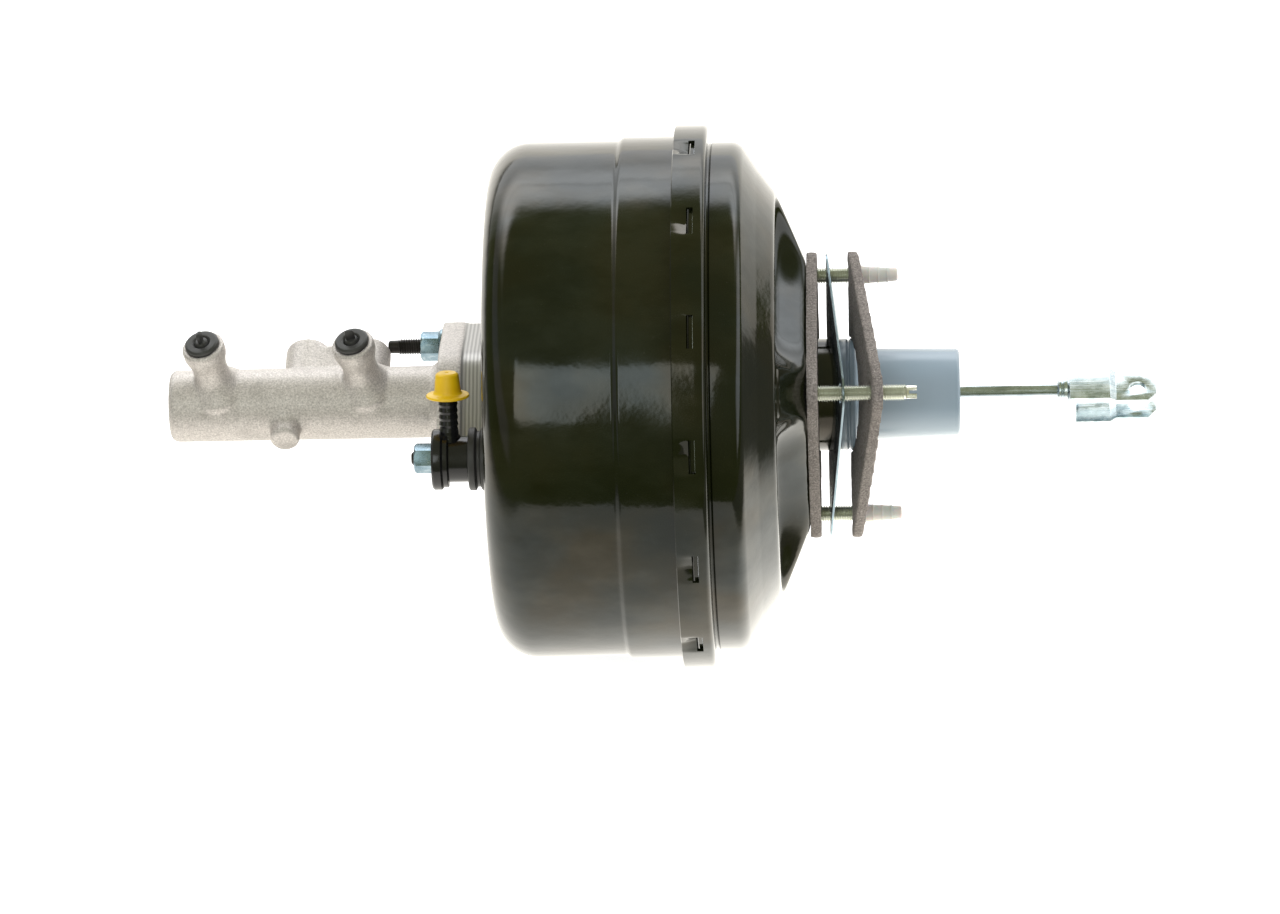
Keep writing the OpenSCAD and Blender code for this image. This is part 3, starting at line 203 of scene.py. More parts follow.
def threaded(root_r: float, crest_r: float, pitch: float, x0: float, x1: float, place: Matrix,
             sides: int = 32) -> Shape:
    """Winds a screw thread with flat crests and rounded roots.

    Args:
        root_r: Radius of the roots in mm.
        crest_r: Radius of the crests in mm.
        pitch: Distance between turns in mm.
        x0: Start of the thread along its axis in mm.
        x1: End of the thread along its axis in mm.
        place: The matrix that takes the local Z axis to its place.
        sides: Steps in one turn.

    Returns:
        The wound thread, closed at its ends.
    """
    turns = max(1, round((x1 - x0) / pitch) - 1)
    pitch = (x1 - x0) / (turns + 1)
    tooth = [(root_r, 0.0), (root_r, 0.12), (crest_r, 0.42), (crest_r, 0.58), (root_r, 0.88), (root_r, 1.0)]
    bm = bmesh.new()
    verts = [bm.verts.new((r * MM, 0, (x0 + h * pitch) * MM)) for r, h in tooth]
    edges = [bm.edges.new(p) for p in zip(verts, verts[1:])]
    bmesh.ops.spin(bm, geom=verts + edges, cent=(0, 0, 0), axis=(0, 0, 1), dvec=(0, 0, pitch * MM / sides),
                   angle=2 * math.pi * turns, steps=turns * sides, use_merge=False, use_normal_flip=False,
                   use_duplicate=False)
    bmesh.ops.remove_doubles(bm, verts=bm.verts, dist=2e-6)
    bmesh.ops.holes_fill(bm, edges=[e for e in bm.edges if e.is_boundary], sides=0)
    bmesh.ops.recalc_face_normals(bm, faces=bm.faces)
    bm.transform(place)
    return bm


def node_copy(name: str) -> Shape:
    """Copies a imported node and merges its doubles.

    Args:
        name: The node.

    Returns:
        The copy.
    """
    bm = bmesh.new()
    bm.from_mesh(frame["nodes"][name].data)
    bmesh.ops.remove_doubles(bm, verts=bm.verts, dist=2e-6)
    return bm


def round_edges(bm: Shape, edges: list[bmesh.types.BMEdge], width: float, segments: int,
                clamp: bool = True) -> None:
    """Rounds some edges of a shape.

    Args:
        bm: The shape.
        edges: The edges.
        width: Width of the rounding in mm.
        segments: Segments of the rounding.
        clamp: Whether roundings that meet are kept from crossing.
    """
    bmesh.ops.bevel(bm, geom=edges, offset=width * MM, offset_type="OFFSET", segments=segments, profile=0.5,
                    affect="EDGES", material=-1, clamp_overlap=clamp)


def sharp_edges(bm: Shape, least: float) -> list[bmesh.types.BMEdge]:
    """The edges of a closed shape that turn by more than an angle in degrees."""
    return [e for e in bm.edges if e.is_manifold and e.calc_face_angle(0) > math.radians(least)]


def edged_copy(name: str, width: float, segments: int = 2, keep: float = 25.0) -> Shape:
    """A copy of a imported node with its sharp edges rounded.

    Args:
        name: The node.
        width: Width of the rounding in mm.
        segments: Segments of the rounding.
        keep: Least angle in degrees at which an edge is rounded.

    Returns:
        The copy.
    """
    bm = node_copy(name)
    bmesh.ops.dissolve_limit(bm, angle_limit=math.radians(1.0), verts=bm.verts, edges=bm.edges,
                             use_dissolve_boundaries=False)
    round_edges(bm, sharp_edges(bm, keep), width, segments)
    return bm


def evened(bm: Shape, voxel: float, smoothing: int) -> Shape:
    """Gives a shape an even mesh and soft cast or cut edges.

    Args:
        bm: The shape, which is freed.
        voxel: Size of the new faces in mm.
        smoothing: Rounds of smoothing.

    Returns:
        The evened shape.
    """
    held = bpy.data.meshes.new("held")
    bm.to_mesh(held)
    bm.free()
    obj = bpy.data.objects.new("held", held)
    bpy.context.scene.collection.objects.link(obj)
    even = obj.modifiers.new("Even", "REMESH")
    even.mode = "VOXEL"
    even.voxel_size = voxel * MM
    if smoothing:
        soft = obj.modifiers.new("Soft", "SMOOTH")
        soft.factor = 0.5
        soft.iterations = smoothing
    out = bmesh.new()
    out.from_mesh(obj.evaluated_get(bpy.context.evaluated_depsgraph_get()).to_mesh())
    bpy.data.objects.remove(obj)
    bpy.data.meshes.remove(held)
    return out


# Small tools for finishes

def linear(code: str) -> Colour:
    """Turns an sRGB hex code into linear colour.

    Args:
        code: The code, with a hash mark before its six digits.

    Returns:
        Red, green and blue, and an alpha of 1.
    """
    parts = [int(code[i:i + 2], 16) / 255 for i in (1, 3, 5)]
    r, g, b = (c / 12.92 if c <= 0.04045 else ((c + 0.055) / 1.055) ** 2.4 for c in parts)
    return (r, g, b, 1.0)


def tinted(level: float, tint: Corner = (1.0, 1.0, 1.0)) -> Colour:
    """The colour of a light of a level and a tint."""
    return (*(level * k for k in tint), 1.0)


def per(size: float) -> float:
    """The texture scale that gives features of a size in mm."""
    return 1 / (size * MM)


def add(tree: Tree, kind: str, inputs: dict | None = None, **settings) -> Node:
    """Adds a node with its settings, values and links.

    Args:
        tree: The node tree.
        kind: The node's type name.
        inputs: Socket name or index to a value or to another node's output.
        **settings: Attributes of the node.

    Returns:
        The new node.
    """
    node = tree.nodes.new(kind)
    for key, value in settings.items():
        setattr(node, key, value)
    for key, value in (inputs or {}).items():
        if isinstance(value, Socket):
            tree.links.new(value, node.inputs[key])
        else:
            node.inputs[key].default_value = value
    return node


def ramp(tree: Tree, factor: Socket, *stops: tuple[float, str]) -> Socket:
    """A colour ramp through stops of (place, hex colour).

    Args:
        tree: The node tree.
        factor: What drives the ramp.
        *stops: Place from 0 to 1 and hex colour of each stop.

    Returns:
        The ramp's colour.
    """
    node = add(tree, "ShaderNodeValToRGB", {"Fac": factor})
    bar = node.color_ramp.elements
    while len(bar) < len(stops):
        bar.new(0.5)
    for element, (place, code) in zip(bar, stops):
        element.position = place
        element.color = linear(code)
    return node.outputs["Color"]


@dataclass(frozen=True)
class Finish:
    """A finish of the object: a named material whose look comes from its nodes."""

    name: str
    colour: str
    shade: str
    roughness: float = 0.5
    rough_swing: float = 0.08
    patch: float = 12.0
    grain: float = 0.4
    bump: float = 0.1
    metallic: float = 0.0
    ior: float = 1.5

    def material(self) -> bpy.types.Material:
        """Builds the material once and returns it each time."""
        found = bpy.data.materials.get(self.name)
        if found:
            return found
        made = bpy.data.materials.new(self.name)
        made.use_nodes = True
        tree = made.node_tree
        tree.nodes.clear()
        shader = add(tree, "ShaderNodeBsdfPrincipled", {"Metallic": self.metallic})
        if not self.metallic:
            shader.inputs["IOR"].default_value = self.ior
        out = add(tree, "ShaderNodeOutputMaterial", {"Surface": shader.outputs["BSDF"]})
        out.is_active_output = True
        place = add(tree, "ShaderNodeTexCoord").outputs["Object"]
        self.dress(tree, shader, place)
        return made

    def dress(self, tree: Tree, shader: Node, place: Socket) -> None:
        """Adds soft patches of colour and gloss, and a fine grain.

        Args:
            tree: The material's nodes.
            shader: Its Principled node.
            place: Object coordinates.
        """
        patches = self.cloud(tree, place, self.patch, 3.0)
        grain = self.cloud(tree, place, self.grain, 2.0)
        body = ramp(tree, patches, (0.3, self.colour), (0.7, self.shade))
        tree.links.new(body, shader.inputs["Base Color"])
        self.gloss(tree, shader, patches)
        self.relief(tree, shader, (grain, self.bump, self.grain))

    @staticmethod
    def cloud(tree: Tree, place: Socket, size: float, detail: float = 2.0, rough: float = 0.55) -> Socket:
        """Soft noise with features of a size in mm."""
        inputs = {"Vector": place, "Scale": per(size), "Detail": detail, "Roughness": rough}
        return add(tree, "ShaderNodeTexNoise", inputs).outputs["Fac"]

    @staticmethod
    def mask(tree: Tree, value: Socket, low: float, high: float, to_low: float = 0.0,
             to_high: float = 1.0) -> Socket:
        """Spreads a value smoothly from low to high, and falls instead of rising where low is above high."""
        inputs = {"Value": value, "From Min": low, "From Max": high, "To Min": to_low, "To Max": to_high}
        return add(tree, "ShaderNodeMapRange", inputs, interpolation_type="SMOOTHSTEP").outputs[0]

    @staticmethod
    def mixed(tree: Tree, share: Socket | float, a: Socket | Colour, b: Socket | Colour) -> Socket:
        """Mixes two colours, with a share of the second one."""
        return add(tree, "ShaderNodeMix", {0: share, 6: a, 7: b}, data_type="RGBA").outputs[2]

    @staticmethod
    def maths(tree: Tree, operation: str, a: Socket | float, b: Socket | float) -> Socket:
        """Joins two values by an operation, with the result kept from 0 to 1."""
        return add(tree, "ShaderNodeMath", {0: a, 1: b}, operation=operation, use_clamp=True).outputs[0]

    def gloss(self, tree: Tree, shader: Node, by: Socket) -> None:
        """Swings the roughness about its mean by a pattern."""
        low, high = self.roughness - self.rough_swing, self.roughness + self.rough_swing
        tree.links.new(self.mask(tree, by, 0.3, 0.7, low, high), shader.inputs["Roughness"])

    @staticmethod
    def relief(tree: Tree, shader: Node,
               *layers: tuple[Socket, float, float]) -> None:
        """Stacks bump layers.

        Args:
            tree: The material's nodes.
            shader: Its Principled node.
            *layers: Height, strength, and size of the features in mm.
        """
        last = None
        for height, strength, size in layers:
            inputs = {"Height": height, "Strength": strength, "Distance": size * MM * 0.5}
            if last:
                inputs["Normal"] = last
            last = add(tree, "ShaderNodeBump", inputs).outputs["Normal"]
        tree.links.new(last, shader.inputs["Normal"])


@dataclass(frozen=True)
class StovedEnamel(Finish):
    """Black dip enamel stoved on drawn steel: glossy, a little wavy, with faint veils and dried drops."""

    smear_size: float = 34.0
    veil_size: float = 44.0
    drop_size: float = 17.0
    dust_size: float = 1.1
    ripple_size: float = 3.2
    wave_size: float = 15.0
    mark_colour: str = "#8A8C86"
    dust_colour: str = "#A09C92"

    def dress(self, tree: Tree, shader: Node, place: Socket) -> None:
        """Adds oily veils, dried water marks, dust and the waves of the drawn sheet.
        Args:
            tree: The material's nodes.
            shader: Its Principled node.
            place: Object coordinates.
        """
        long = add(tree, "ShaderNodeMapping", {"Vector": place, "Scale": (0.6, 1.0, 1.0)}).outputs[0]
        smears = self.cloud(tree, long, self.smear_size, 4.0, 0.6)
        drops = add(tree, "ShaderNodeTexVoronoi", {"Vector": place, "Scale": per(self.drop_size)})
        spots = self.mask(tree, drops.outputs["Distance"], 0.10, 0.02)
        dried = self.maths(tree, "MULTIPLY", spots, self.mask(tree, smears, 0.5, 0.62))
        dust = self.mask(tree, self.cloud(tree, place, self.dust_size, 3.0, 0.7), 0.66, 0.80)
        body = self.mixed(tree, self.mask(tree, smears, 0.42, 0.72), linear(self.colour), linear(self.shade))
        marked = self.mixed(tree, self.maths(tree, "MULTIPLY", dried, 0.10), body, linear(self.mark_colour))
        dusty = self.mixed(tree, self.maths(tree, "MULTIPLY", dust, 0.07), marked, linear(self.dust_colour))
        tree.links.new(dusty, shader.inputs["Base Color"])
        veil = self.cloud(tree, place, self.veil_size, 3.0, 0.5)
        sheen = ramp(tree, veil, (0.38, "#E3EBF0"), (0.50, "#F3F4F0"), (0.62, "#FFF3E2"))
        tree.links.new(sheen, shader.inputs["Specular Tint"])
        tree.links.new(self.mask(tree, smears, 0.38, 0.62, 0.43, 0.57), shader.inputs["Specular IOR Level"])
        low, high = self.roughness - self.rough_swing, self.roughness + self.rough_swing
        film = self.mask(tree, smears, 0.35, 0.75, low, high)
        rough = self.maths(tree, "ADD", film, self.maths(tree, "MULTIPLY", dried, 0.12))
        tree.links.new(rough, shader.inputs["Roughness"])
        self.relief(tree, shader, (self.cloud(tree, place, self.ripple_size, 1.0), self.bump, 1.0),
                    (self.cloud(tree, long, self.wave_size, 1.0), self.bump * 1.2, 4.0))


@dataclass(frozen=True)
class Plated(Finish):
    """Bare or plated steel: drawn, rolled or brushed along one axis, with tinted patches and small scuffs."""

    streaks: Axis = Axis.NONE
    streak_size: float = 0.5
    tint: str = ""

    def dress(self, tree: Tree, shader: Node, place: Socket) -> None:
        """Adds brushing, patches of tint and scuffs.
        Args:
            tree: The material's nodes.
            shader: Its Principled node.
            place: Object coordinates.
        """
        long = add(tree, "ShaderNodeMapping", {"Vector": place, "Scale": self.streaks.value}).outputs[0]
        lines = self.cloud(tree, long, self.streak_size, 3.0, 0.7)
        patches = self.cloud(tree, place, self.patch, 4.0, 0.6)
        body = ramp(tree, patches, (0.32, self.colour), (0.68, self.shade))
        brushed = self.mixed(tree, self.mask(tree, lines, 0.35, 0.75, 0.0, 0.6), body, linear(self.shade))
        if self.tint:
            share = self.mask(tree, self.cloud(tree, long, self.patch * 0.6, 2.0), 0.5, 0.75, 0.0, 0.55)
            brushed = self.mixed(tree, share, brushed, linear(self.tint))
        tree.links.new(brushed, shader.inputs["Base Color"])
        rough = self.maths(tree, "ADD", self.mask(tree, lines, 0.3, 0.7, -self.rough_swing, self.rough_swing),
                           self.mask(tree, patches, 0.3, 0.7, self.roughness - 0.04, self.roughness + 0.04))
        tree.links.new(rough, shader.inputs["Roughness"])
        self.relief(tree, shader, (lines, self.bump, self.streak_size),
                    (self.cloud(tree, place, self.grain, 2.0), self.bump * 0.6, self.grain))


@dataclass(frozen=True)
class SandCast(Finish):
    """Gravity cast aluminium: a pale skin with the print of the sand, and a turned seat with tool rings."""

    turned_x: float = -172.2
    speckle_size: float = 0.9
    stain_size: float = 16.0
    dent_size: float = 5.0
    ring_size: float = 6.0
    turned_roughness: float = 0.30
    bright: str = "#E6E1DB"
    stain: str = "#8F8A84"

    def dress(self, tree: Tree, shader: Node, place: Socket) -> None:
        """Adds the speckled skin, handling stains and the turned seat.
        Args:
            tree: The material's nodes.
            shader: Its Principled node.
            place: Object coordinates.
        """
        parts = add(tree, "ShaderNodeSeparateXYZ", {"Vector": place})
        speckle = self.cloud(tree, place, self.speckle_size, 3.0, 0.7)
        stains = self.cloud(tree, place, self.stain_size, 4.0, 0.6)
        skin = ramp(tree, speckle, (0.30, self.shade), (0.50, self.colour), (0.72, self.bright))
        stained = self.mixed(tree, self.mask(tree, stains, 0.52, 0.75, 0.0, 0.45), skin, linear(self.stain))
        seat = self.mask(tree, parts.outputs["X"], (self.turned_x - 0.2) * MM, self.turned_x * MM)
        waves = {"Vector": place, "Scale": per(self.ring_size), "Distortion": 0.4, "Detail": 2.0}
        rings = add(tree, "ShaderNodeTexWave", waves, bands_direction="X").outputs["Fac"]
        turned = ramp(tree, rings, (0.2, "#969490"), (0.8, "#B9B7B2"))
        tree.links.new(self.mixed(tree, seat, stained, turned), shader.inputs["Base Color"])
        rough = self.mask(tree, seat, 0.0, 1.0, self.roughness, self.turned_roughness)
        tree.links.new(rough, shader.inputs["Roughness"])
        sand = self.maths(tree, "MULTIPLY", speckle, self.maths(tree, "SUBTRACT", 1.0, seat))
        tooled = self.maths(tree, "MULTIPLY", rings, seat)
        dents = self.cloud(tree, place, self.dent_size, 2.0)
        self.relief(tree, shader, (sand, self.bump, 0.8), (tooled, 0.2, 0.4), (dents, self.bump * 0.4, 1.2))


@dataclass(frozen=True)
class CutFoam(Finish):
    """Foam rubber, cut from sheet: matt and full of small pores."""

    # The pores of the real foam are about 0.3 mm across, and are drawn at 0.9 mm so that they show
    pore_size: float = 0.9
    grain_size: float = 1.0

    def dress(self, tree: Tree, shader: Node, place: Socket) -> None:
        """Adds pores and the uneven grey of cut foam.
        Args:
            tree: The material's nodes.
            shader: Its Principled node.
            place: Object coordinates.
        """
        pores = add(tree, "ShaderNodeTexVoronoi", {"Vector": place, "Scale": per(self.pore_size)})
        grain = self.cloud(tree, place, self.grain_size, 3.0, 0.8)
        patches = self.cloud(tree, place, self.patch, 3.0)
        base = ramp(tree, patches, (0.3, self.colour), (0.7, self.shade))
        dark = self.mixed(tree, self.mask(tree, grain, 0.42, 0.62, 0.0, 0.55), base, linear("#3C3835"))
        pale = self.mixed(tree, self.mask(tree, grain, 0.42, 0.30, 0.0, 0.5), dark, linear("#C4BEB7"))
        tree.links.new(pale, shader.inputs["Base Color"])
        shader.inputs["Roughness"].default_value = self.roughness
        self.relief(tree, shader, (pores.outputs["Distance"], self.bump, self.pore_size),
                    (grain, self.bump, 0.7))


@dataclass(frozen=True)
class ClearCap(Finish):
    """Natural polyethylene: milky, soft and a little see-through."""

    clear_share: float = 0.22
    milk_share: float = 0.35
    milk_depth: float = 2.0

    def dress(self, tree: Tree, shader: Node, place: Socket) -> None:
        """Adds the milkiness and the faint flow marks of moulding.
        Args:
            tree: The material's nodes.
            shader: Its Principled node.
            place: Object coordinates.
        """
        Finish.dress(self, tree, shader, place)
        shader.inputs["Transmission Weight"].default_value = self.clear_share
        shader.inputs["Subsurface Weight"].default_value = self.milk_share
        shader.inputs["Subsurface Scale"].default_value = self.milk_depth * MM


# Dip enamel over drawn steel, stoved: almost black, so the eye sees only reflections and faint smears
BLACK_COAT = StovedEnamel("stoved_black_enamel", "#0F1203", "#16190A", 0.12, 0.04, bump=0.05)
# Zinc on pressed sheet: soft grey with a blurred shine
ZINC_SHEET = Plated("zinc_plated_sheet", "#8D9196", "#A9ADB0", 0.38, grain=0.5, metallic=1.0)
# Nitrile seals: black, even and dull
SEAL_RUBBER = Finish("nitrile_rubber", "#1B1B1C", "#272728", 0.55, grain=0.3)
# Phenolic resin of the valve body: brown-beige, hard, satin
PHENOLIC = Finish("moulded_phenolic", "#A89C86", "#B7AD99", 0.42, grain=0.5)
# Acetal bearing ring: ivory and smooth
BEARING = Finish("acetal_bearing", "#D5CFC1", "#E0DBCF", 0.35, grain=0.4)
# Filter felt and foam: dark grey, open
FILTER = CutFoam("filter_foam", "#474746", "#565654", 0.95, bump=0.5)
# Plated steel of inner parts: pale grey, fine turned lines
PLATED_STEEL = Plated("bright_plated_steel", "#B9BDC1", "#CDD0D2", 0.30, metallic=1.0, streaks=Axis.X)
# Spring wire: drawn, oiled, dark grey
SPRING_STEEL = Plated("drawn_spring_wire", "#74787D", "#8C9095", 0.32, metallic=1.0)
# Olive chromate over zinc on the studs: pale greenish grey with a shine
OLIVE_ZINC = Plated("olive_chromate_zinc", "#B9BCAE", "#CDD0C2", 0.20, 0.03, 24.0, 0.3, 0.02, 0.75)
# Bare turned steel of the stud's nose: bright
BARE_STEEL = Plated("bare_turned_steel", "#DDDDD6", "#F2F1EA", 0.34, grain=0.3, metallic=1.0)
# Thin polyethylene thread caps: milky, warm white
CAP_PLASTIC = ClearCap("natural_polyethylene", "#D9D2CA", "#CFCBC3", 0.36, grain=0.6)
# Cut foam rubber of the mounting gaskets: warm mid grey, speckled
GASKET_FOAM = CutFoam("cut_foam_rubber", "#948D86", "#857E78", 0.95, bump=0.6)
# Blued strip steel of the thin plate: slate with a cold sheen
BLUE_STEEL = Plated("blued_strip_steel", "#66747D", "#8A989F", 0.22, 0.06, 20.0, metallic=0.9, tint="#9DB0B8")
# Grey boot rubber: a smooth blue-grey moulding with a soft gloss
BOOT_RUBBER = Finish("grey_boot_rubber", "#8798A3", "#8C9CA7", 0.24, 0.03, 40.0, 0.8, 0.03)
# Zinc-nickel on the rod: bright, drawn lengthwise
ROD_ZINC = Plated("drawn_zinc_rod", "#9BA6AE", "#C9D2D6", 0.24, 0.08, 9.0, metallic=1.0, streaks=Axis.X,
                  tint="#6F8391")
# Blue zinc on the folded clevis: brushed along its length, cold tints
CLEVIS_ZINC = Plated("blue_zinc_plate", "#A6B4BB", "#DCE5E8", 0.26, 0.08, 7.0, metallic=1.0, streaks=Axis.X,
                     tint="#86A3AE")
# Gravity cast aluminium of the cylinder: pale skin with a sand print
CAST_ALUMINIUM = SandCast("sand_cast_aluminium", "#C8C2BC", "#A49F9A", 0.50, bump=0.30, metallic=0.45)
# Black phosphate on the cylinder studs: dull black with oil
BLACK_STEEL = Plated("black_phosphate_steel", "#232120", "#35322F", 0.42, grain=0.3, metallic=0.6)
# Blue zinc on the nuts: slate with bright edges
NUT_ZINC = Plated("blue_zinc_nut", "#687F8C", "#8CA1AC", 0.30, 0.08, 5.0, metallic=1.0, tint="#B8C6CD")
# Moulded rubber round the valve and the necks: charcoal, satin
GROMMET_RUBBER = Finish("moulded_rubber", "#2E2E2C", "#3C3C3A", 0.45, grain=0.5)
# Moulded shipping plugs: soft black plastic
PLUG_RUBBER = Finish("plug_plastic", "#2A2A29", "#373736", 0.42, grain=0.5)
# Turned and anodised piston alloy
PISTON_ALLOY = Plated("turned_piston_alloy", "#BFC4C8", "#D2D5D7", 0.28, metallic=1.0)
# Glass filled nylon of the valve: black, glossy from the mould
VALVE_PLASTIC = Finish("black_nylon", "#121213", "#1B1B1C", 0.20, 0.05, grain=0.6, bump=0.05)
# Yellow shipping cap: soft polyethylene, satin
YELLOW_PLASTIC = Finish("yellow_polyethylene", "#E9C112", "#E2B60A", 0.38, grain=0.7)

FINISHES: dict[str, Finish] = {
    "black_coat": BLACK_COAT, "zinc_sheet": ZINC_SHEET, "seal_rubber": SEAL_RUBBER, "phenolic": PHENOLIC,
    "bearing_plastic": BEARING, "filter_foam": FILTER, "plated_steel": PLATED_STEEL,
    "spring_steel": SPRING_STEEL, "olive_zinc": OLIVE_ZINC, "cap_plastic": CAP_PLASTIC,
    "gasket_foam": GASKET_FOAM, "blue_steel": BLUE_STEEL, "boot_rubber": BOOT_RUBBER, "rod_zinc": ROD_ZINC,
    "clevis_zinc": CLEVIS_ZINC, "cast_aluminium": CAST_ALUMINIUM, "black_steel": BLACK_STEEL,
    "nut_zinc": NUT_ZINC, "grommet_rubber": GROMMET_RUBBER, "plug_rubber": PLUG_RUBBER,
    "piston_aluminium": PISTON_ALLOY, "valve_plastic": VALVE_PLASTIC, "yellow_plastic": YELLOW_PLASTIC}


@dataclass
class Assembly:
    """A sub-assembly: it builds its pieces and dresses them."""

    body: str = "housing"
    pieces: list[bpy.types.Object] = field(default_factory=list)

    def place(self, name: str, bm: Shape, slot: str, nodes: Sequence[str] = (),
              finish: Finish | None = None, sharp: float = 38.0, body: str = "") -> bpy.types.Object:
        """Makes a shape a piece of the object.

        Args:
            name: The piece's name.
            bm: Its shape, which is freed.
            slot: The material slot that it takes.
            nodes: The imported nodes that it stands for.
            finish: Its finish, where it isn't the slot's own.
            sharp: Angle in degrees above which an edge shows as an edge.
            body: The body that it rides on, where it isn't the assembly's.

        Returns:
            The piece.
        """
        mesh = bpy.data.meshes.new(name)
        bm.edges.index_update()
        rims = [e.index for e in bm.edges if e.is_boundary]
        bm.to_mesh(mesh)
        bm.free()
        mesh.shade_smooth()
        mesh.set_sharp_from_angle(angle=math.radians(sharp))
        for i in rims:
            mesh.edges[i].use_edge_sharp = True
        mesh.materials.append((finish or FINISHES[slot]).material())
        obj = bpy.data.objects.new(name, mesh)
        bpy.context.scene.collection.objects.link(obj)
        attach(obj, body or self.body)
        if nodes:
            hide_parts(*nodes)
        self.pieces.append(obj)
        return obj

    def build(self) -> None:
        """Builds every piece of the sub-assembly."""
        raise NotImplementedError


@dataclass
class Shells(Assembly):
    """The drawn and clinched steel shells."""

    # The front shell
    sheet: float = 1.6
    bore_r: float = 20.6
    can_r: float = 128.5
    can_rear_r: float = 130.3
    shoulder: float = 20.0
    joggle_x: float = -91.0
    joggle_bend: float = 3.0
    flange_r: float = 133.6
    # The clinch band and its lances
    band_r: float = 135.7
    band_front_x: float = -63.7
    band_corner: float = 3.0
    lances: int = 14
    lance_depth: float = 3.0
    lance_start: float = 0.4
    press_half: float = 9.5
    press_foot: float = 3.0
    slit_half: float = 8.2
    slit_w: float = 3.2
    slit_x: float = -52.9
    strips: int = 6
    period_steps: int = 44
    groove_depth: float = 0.7
    # The dish: straight wall, cone, ridge and floor
    dish_r: float = 127.0
    dish_corner: float = 8.0
    cone_inset: float = 3.5
    seam_r: float = 112.0
    ridge_r: float = 101.0
    ridge_blend: float = 1.2
    floor_x: float = -16.0
    floor_r: float = 95.0
    floor_blend: float = 4.0
    # The pad on its ramps, and the neck
    pad_half: float = 54.0
    pad_corner: float = 12.0
    ramp_half: float = 12.0
    ramp_top_r: float = 66.7
    ramp_end_r: float = 97.0
    ramp_end_w: float = 5.0
    ramp_blend: float = 1.6
    outline_blend: float = 14.0
    wall_w: float = 9.0
    wall_start: float = 0.82
    collar_r: float = 32.0
    neck_r: float = 28.0
    neck_bend: float = 2.4
    dish_rings: int = 78
    dish_steps: int = 480

    def build(self) -> None:
        """Builds the front shell, the band with its lances and the dish with its pad."""
        self.front_shell()
        self.band()
        self.dish()

    def walled(self, obj: bpy.types.Object) -> None:
        """Gives a sheet piece its thickness, inwards.

        Args:
            obj: The piece.
        """
        wall = obj.modifiers.new("Wall", "SOLIDIFY")
        wall.thickness = self.sheet * MM
        wall.offset = -1.0
        wall.use_even_offset = True

    def front_shell(self) -> None:
        """The can: flat face, rounded shoulder, joggle and rolled flange."""
        x, bend = self.joggle_x, self.joggle_bend
        line = softened([(self.bore_r, FRONT_FACE_X, 0), (self.can_r, FRONT_FACE_X, self.shoulder),
                         (self.can_r, x - 1.4, bend), (self.can_rear_r, x + 1.2, bend),
                         (self.can_rear_r, FLANGE_X, 2.0), (self.flange_r, FLANGE_X, 0)], False, 12)
        bm = spun(line, 288, False)
        face_out(bm, Vector((-0.1, 0, 0)))
        self.walled(self.place("front_shell_skin", bm, "black_coat", ["front_shell"], sharp=50))

    def cone_x(self, r: float) -> float:
        """Place of the cone's face at a radius."""
        rise = (RIDGE_X - CONE_X) / (self.dish_r - self.cone_inset - self.ridge_r)
        return RIDGE_X - (r - self.ridge_r) * rise

    def band(self) -> None:
        """The clinch band with its lances, the groove, the straight wall and the outer half of the cone."""
        r, x0, x1 = self.band_r, self.band_front_x, self.slit_x - self.slit_w
        groove_r, lap_r = self.dish_r - self.groove_depth, self.seam_r + 1.5
        strip = [(r, x0 + 1.2 + (x1 - x0 - 1.2) * k / self.strips, 0) for k in range(self.strips + 1)]
        line = softened([(r - 0.5, x0, 0), (r, x0 + 0.4, 0), *strip, (r, self.slit_x, 0),
                         (r, BAND_REAR_X, self.band_corner), (groove_r, BAND_REAR_X, 0.6),
                         (groove_r, BAND_REAR_X + 1.4, 0.5), (self.dish_r, BAND_REAR_X + 2.0, 0.5),
                         (self.dish_r, CONE_X - 1.0, self.dish_corner), (lap_r, self.cone_x(lap_r), 0),
                         (self.seam_r, self.cone_x(self.seam_r), 0)], False, 8)
        bm = spun(line, self.lances * self.period_steps, False, start=45.0)
        face_out(bm, Vector((-0.05, 0, 0)))
        slits = []
        for face in bm.faces:
            c = face.calc_center_median()
            if x1 * MM < c.x < self.slit_x * MM and math.hypot(c.y, c.z) > (r - 1) * MM:
                if abs(self.across(c)) < self.slit_half:
                    slits.append(face)
        bmesh.ops.delete(bm, geom=slits, context="FACES")
        for v in bm.verts:
            if v.co.x < (x1 + 0.1) * MM:
                along = smooth_step((v.co.x / MM - x0) / (x1 - x0))
                depth = self.lance_depth * (self.lance_start + (1 - self.lance_start) * along)
                v.co.yz *= 1 - depth * self.crease(abs(self.across(v.co))) / r
        self.walled(self.place("clinch_band", bm, "black_coat", ["rear_shell"], sharp=34))

    def across(self, spot: Vector) -> float:
        """Finds the distance along the band from the middle of the nearest lance.

        Args:
            spot: A point of the band in metres.

        Returns:
            The distance in mm, negative on one side.
        """
        period = 2 * math.pi / self.lances
        turn = (math.atan2(-spot.y, spot.z) - math.pi / 4) % period - period / 2
        return turn * self.band_r

    def crease(self, away: float) -> float:
        """Share of a lance's depth at a distance from its middle: a fold with a rounded foot."""
        return max(0.0, 1 - away / self.press_half) * smooth_step((self.press_half - away) / self.press_foot)

    def outline(self, y: float, z: float) -> float:
        """Finds the distance from the outline of the pad and its ramps.

        Args:
            y: Place across in mm.
            z: Place upwards in mm.

        Returns:
            The distance outside the outline in mm, negative inside.
        """
        inner = self.pad_half - self.pad_corner
        qy, qz = abs(y) - inner, abs(z) - inner
        pad = math.hypot(max(qy, 0), max(qz, 0)) + min(max(qy, qz), 0) - self.pad_corner
        ramp_side = abs(abs(y) - abs(z)) / math.sqrt(2) - self.ramp_half
        return smooth_min(pad, ramp_side, self.outline_blend)

